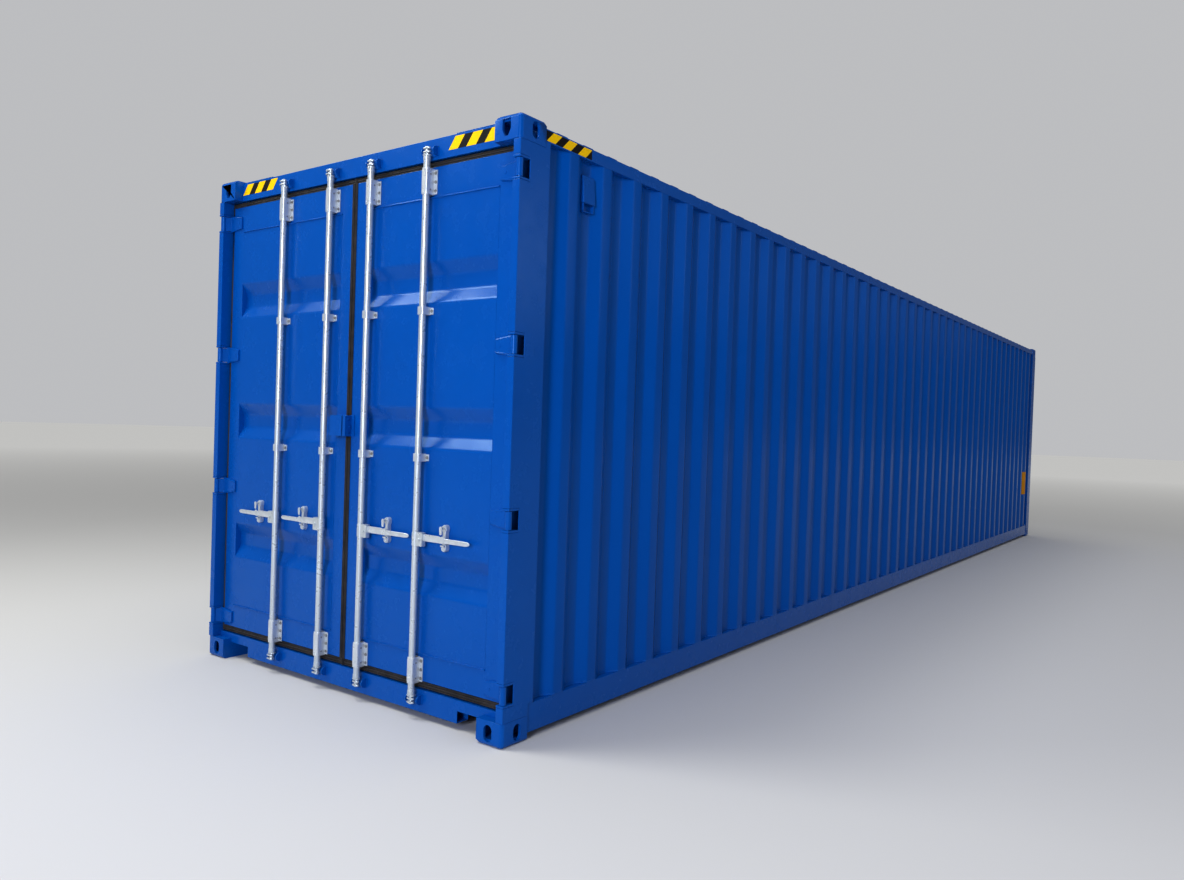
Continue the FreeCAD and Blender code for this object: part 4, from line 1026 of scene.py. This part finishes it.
handle_low, handle_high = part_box("handle_left_inner")
HANDLE_MIDDLE, HANDLE_LEVEL = ((handle_low[i] + handle_high[i]) / 2 for i in (0, 2))
LEVER = ((0.020, 0, 0.0160, 0.0040), (0.058, 0, 0.0160, 0.0042), (0.066, 0, 0.0178, 0.0050),
         (0.135, 0, 0.0178, 0.0050), (0.160, 0, 0.0172, 0.0052), (0.176, -0.001, 0.0150, 0.0056),
         (0.196, -0.002, 0.0140, 0.0056), (0.212, -0.003, 0.0122, 0.0050),
         (0.335, -0.003, 0.0120, 0.0050), (0.352, -0.003, 0.0110, 0.0048),
         (0.362, -0.003, 0.0080, 0.0036), (0.367, -0.003, 0.0035, 0.0016))


def lever(which):
    def build(bm):
        loft(bm, [(bar_y[which] + y, HANDLE_LEVEL + z, high, thick) for y, z, high, thick in LEVER])
        y = bar_y[which] + CATCH_REACH
        prism(bm, [(HANDLE_MIDDLE - 0.0035, y + dy, HANDLE_LEVEL + dz) for dy, dz in (
            (-0.028, -0.012), (-0.014, -0.0165), (0.004, -0.0175), (0.016, -0.010), (0.018, 0.006),
            (0.013, 0.0185), (0.002, 0.0195), (-0.010, 0.010))], (-0.0030, 0, 0), 0.0012)
    return build


for which in BARS:
    both_hands(locking_bar(which), "bar_SIDE_%s_finished" % which, "bar_SIDE_" + which,
               "lock_bar_SIDE_" + which, "zinc_steel", ZINC)
    both_hands(lever(which), "handle_SIDE_%s_finished" % which, "handle_SIDE_" + which,
               "lock_bar_SIDE_" + which, "zinc_steel", CAST_ZINC)


def keeper_ears(bm):
    """Two rounded ears and a pad for each cam, on the header and on the sill."""
    face = head_low.x
    for y in (*bar_y.values(), *(-v for v in bar_y.values())):
        for z in (bar_low.z + 0.020, bar_high.z - 0.020):
            for way in (-1, 1):
                ear = [(face + dx, y + way * 0.036, z + dz) for dx, dz in (
                    (0, -0.023), (-0.014, -0.023), (-0.026, -0.019), (-0.034, -0.010),
                    (-0.036, 0.0), (-0.034, 0.010), (-0.026, 0.019), (-0.014, 0.023), (0, 0.023))]
                prism(bm, ear, (0, way * 0.008, 0), 0.002)
            block(bm, (face - 0.003, y - 0.050, z - 0.024), (face, y + 0.050, z + 0.024), 0.0012)


keepers = bmesh.new()
keeper_ears(keepers)
replace("cam_keepers", "cam_keeper_ears", keepers, "container", "blue_paint", BLUE)

# %% [markdown]
# ## Handle retainers and catches
# A retainer is a cast bar on the leaf, with a ringed boss above the lever, another below it, and a
# shelf that the lever rests on. The catch is a drop-shaped plate on the upper boss's rivet.

# %% Retainers and catches
ARCH = 13


def drop(y, z, half, down):
    """An outline with a round top of ARCH points: (y, z) points, narrower at the foot."""
    top = [(y + half * math.cos(a), z + half * math.sin(a))
           for a in (math.pi * i / (ARCH - 1) for i in range(ARCH))]
    return top + [(y - half * 0.72, z - down), (y - half * 0.3, z - down - half * 0.25),
                  (y + half * 0.3, z - down - half * 0.25), (y + half * 0.72, z - down)]


def loop_plate(bm, outer, hub, hole, front, back):
    """A flat plate with a round hole: outer (y, z) outline about a hub, between two x planes."""
    inner = [(hub[0] + hole * math.cos(math.atan2(b - hub[1], a - hub[0])),
              hub[1] + hole * math.sin(math.atan2(b - hub[1], a - hub[0]))) for a, b in outer]
    rings = [[bm.verts.new((x, a, b)) for a, b in line]
             for x, line in ((front, outer), (back, outer), (back, inner), (front, inner))]
    made = []
    for one, two in zip(rings, rings[1:] + rings[:1]):
        for i in range(len(outer)):
            j = (i + 1) % len(outer)
            made.append(bm.faces.new((one[i], two[i], two[j], one[j])))
    bmesh.ops.recalc_face_normals(bm, faces=made)
    rim = [e for e in {e for f in made for e in f.edges}
           if all(v in rings[0] for v in e.verts) or all(v in rings[1] for v in e.verts)]
    bevel(bm, rim, 0.0012, 2)


catch_low, catch_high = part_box("catch_left_inner")
RETAINER_FRONT, CATCH_PIVOT = LEAF_FACE - 0.026, 0.970


def retainers(bm):
    low, high = (c.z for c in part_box("handle_retainers_left"))
    half, front = 0.016, RETAINER_FRONT + 0.0005
    quarter = [(half * math.cos(math.pi * i / 8), half * math.sin(math.pi * i / 8))
               for i in range(5)]
    spine = [(dy, high - low - half + dz) for dy, dz in reversed(quarter)]
    spine += [(0.0150, 0.105), (0.0105, 0.094), (0.0105, 0.040), (0.0150, 0.030)]
    spine += [(dy, half - dz) for dy, dz in quarter]
    for bar in bar_y.values():
        y = bar + CATCH_REACH
        outline = ([(front, y + dy, low + dz) for dy, dz in spine]
                   + [(front, y - dy, low + dz) for dy, dz in reversed(spine[1:-1])])
        prism(bm, outline, (LEAF_FACE - front, 0, 0), 0.003)
        for z in (low + half, high - half):
            ring = drop(y, z, 0.0135, 0.0)[:ARCH]
            ring += [(a, 2 * z - b) for a, b in reversed(ring[1:-1])]
            loop_plate(bm, ring, (y, z), 0.0072, front - 0.0035, front + 0.001)
        block(bm, (HANDLE_MIDDLE - 0.003, y - 0.0125, low + 0.0255),
              (front + 0.004, y + 0.0125, low + 0.0345), 0.003)
        tube(bm, (front, y, high - half), (catch_low.x - 0.0012, y, high - half), 0.0048, 16, 0.001)


both_hands(retainers, "retainers_SIDE", "handle_retainers_SIDE", "leaf_SIDE", "zinc_steel",
           CAST_ZINC)


def catch(which):
    def build(bm):
        y, z = bar_y[which] + CATCH_REACH, CATCH_PIVOT
        loop_plate(bm, drop(y, z, 0.0098, 0.030), (y, z), 0.0052, catch_low.x, catch_high.x)
    return build


for which in BARS:
    both_hands(catch(which), "catch_SIDE_%s_finished" % which, "catch_SIDE_" + which,
               "catch_SIDE_" + which, "zinc_steel", CAST_ZINC)

# %% [markdown]
# ## Lock box
# A welded steel box hides the padlock where the leaves meet. Each flank carries three nuts, and
# beads run along its top edge and up its flank.

# %% Lock box
for side, way in (("left", 1), ("right", -1)):
    low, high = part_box("lock_box_" + side)
    bm = copy_of("lock_box_" + side)
    round_corners(bm, 0.0022)
    flank = high.y if way > 0 else low.y + 0.020
    for x, z in ((low.x + 0.018, low.z + 0.022), (low.x + 0.030, low.z + 0.05),
                 (low.x + 0.018, high.z - 0.02)):
        bolt(bm, (x, flank - way * 0.0004, z), (0, way, 0), 0.006, 0.006)
    weld = LEAF_FACE - 0.002
    for path in ([(weld, low.y + 0.004, high.z), (weld, high.y - 0.004, high.z)],
                 [(weld, flank, low.z), (weld, flank, high.z)]):
        sweep(bm, stepped(path, 0.012), 0.003, 6, 0.7)
    replace("lock_box_" + side, "lock_box_%s_finished" % side, bm, "leaf_" + side, "blue_paint",
            BLUE)
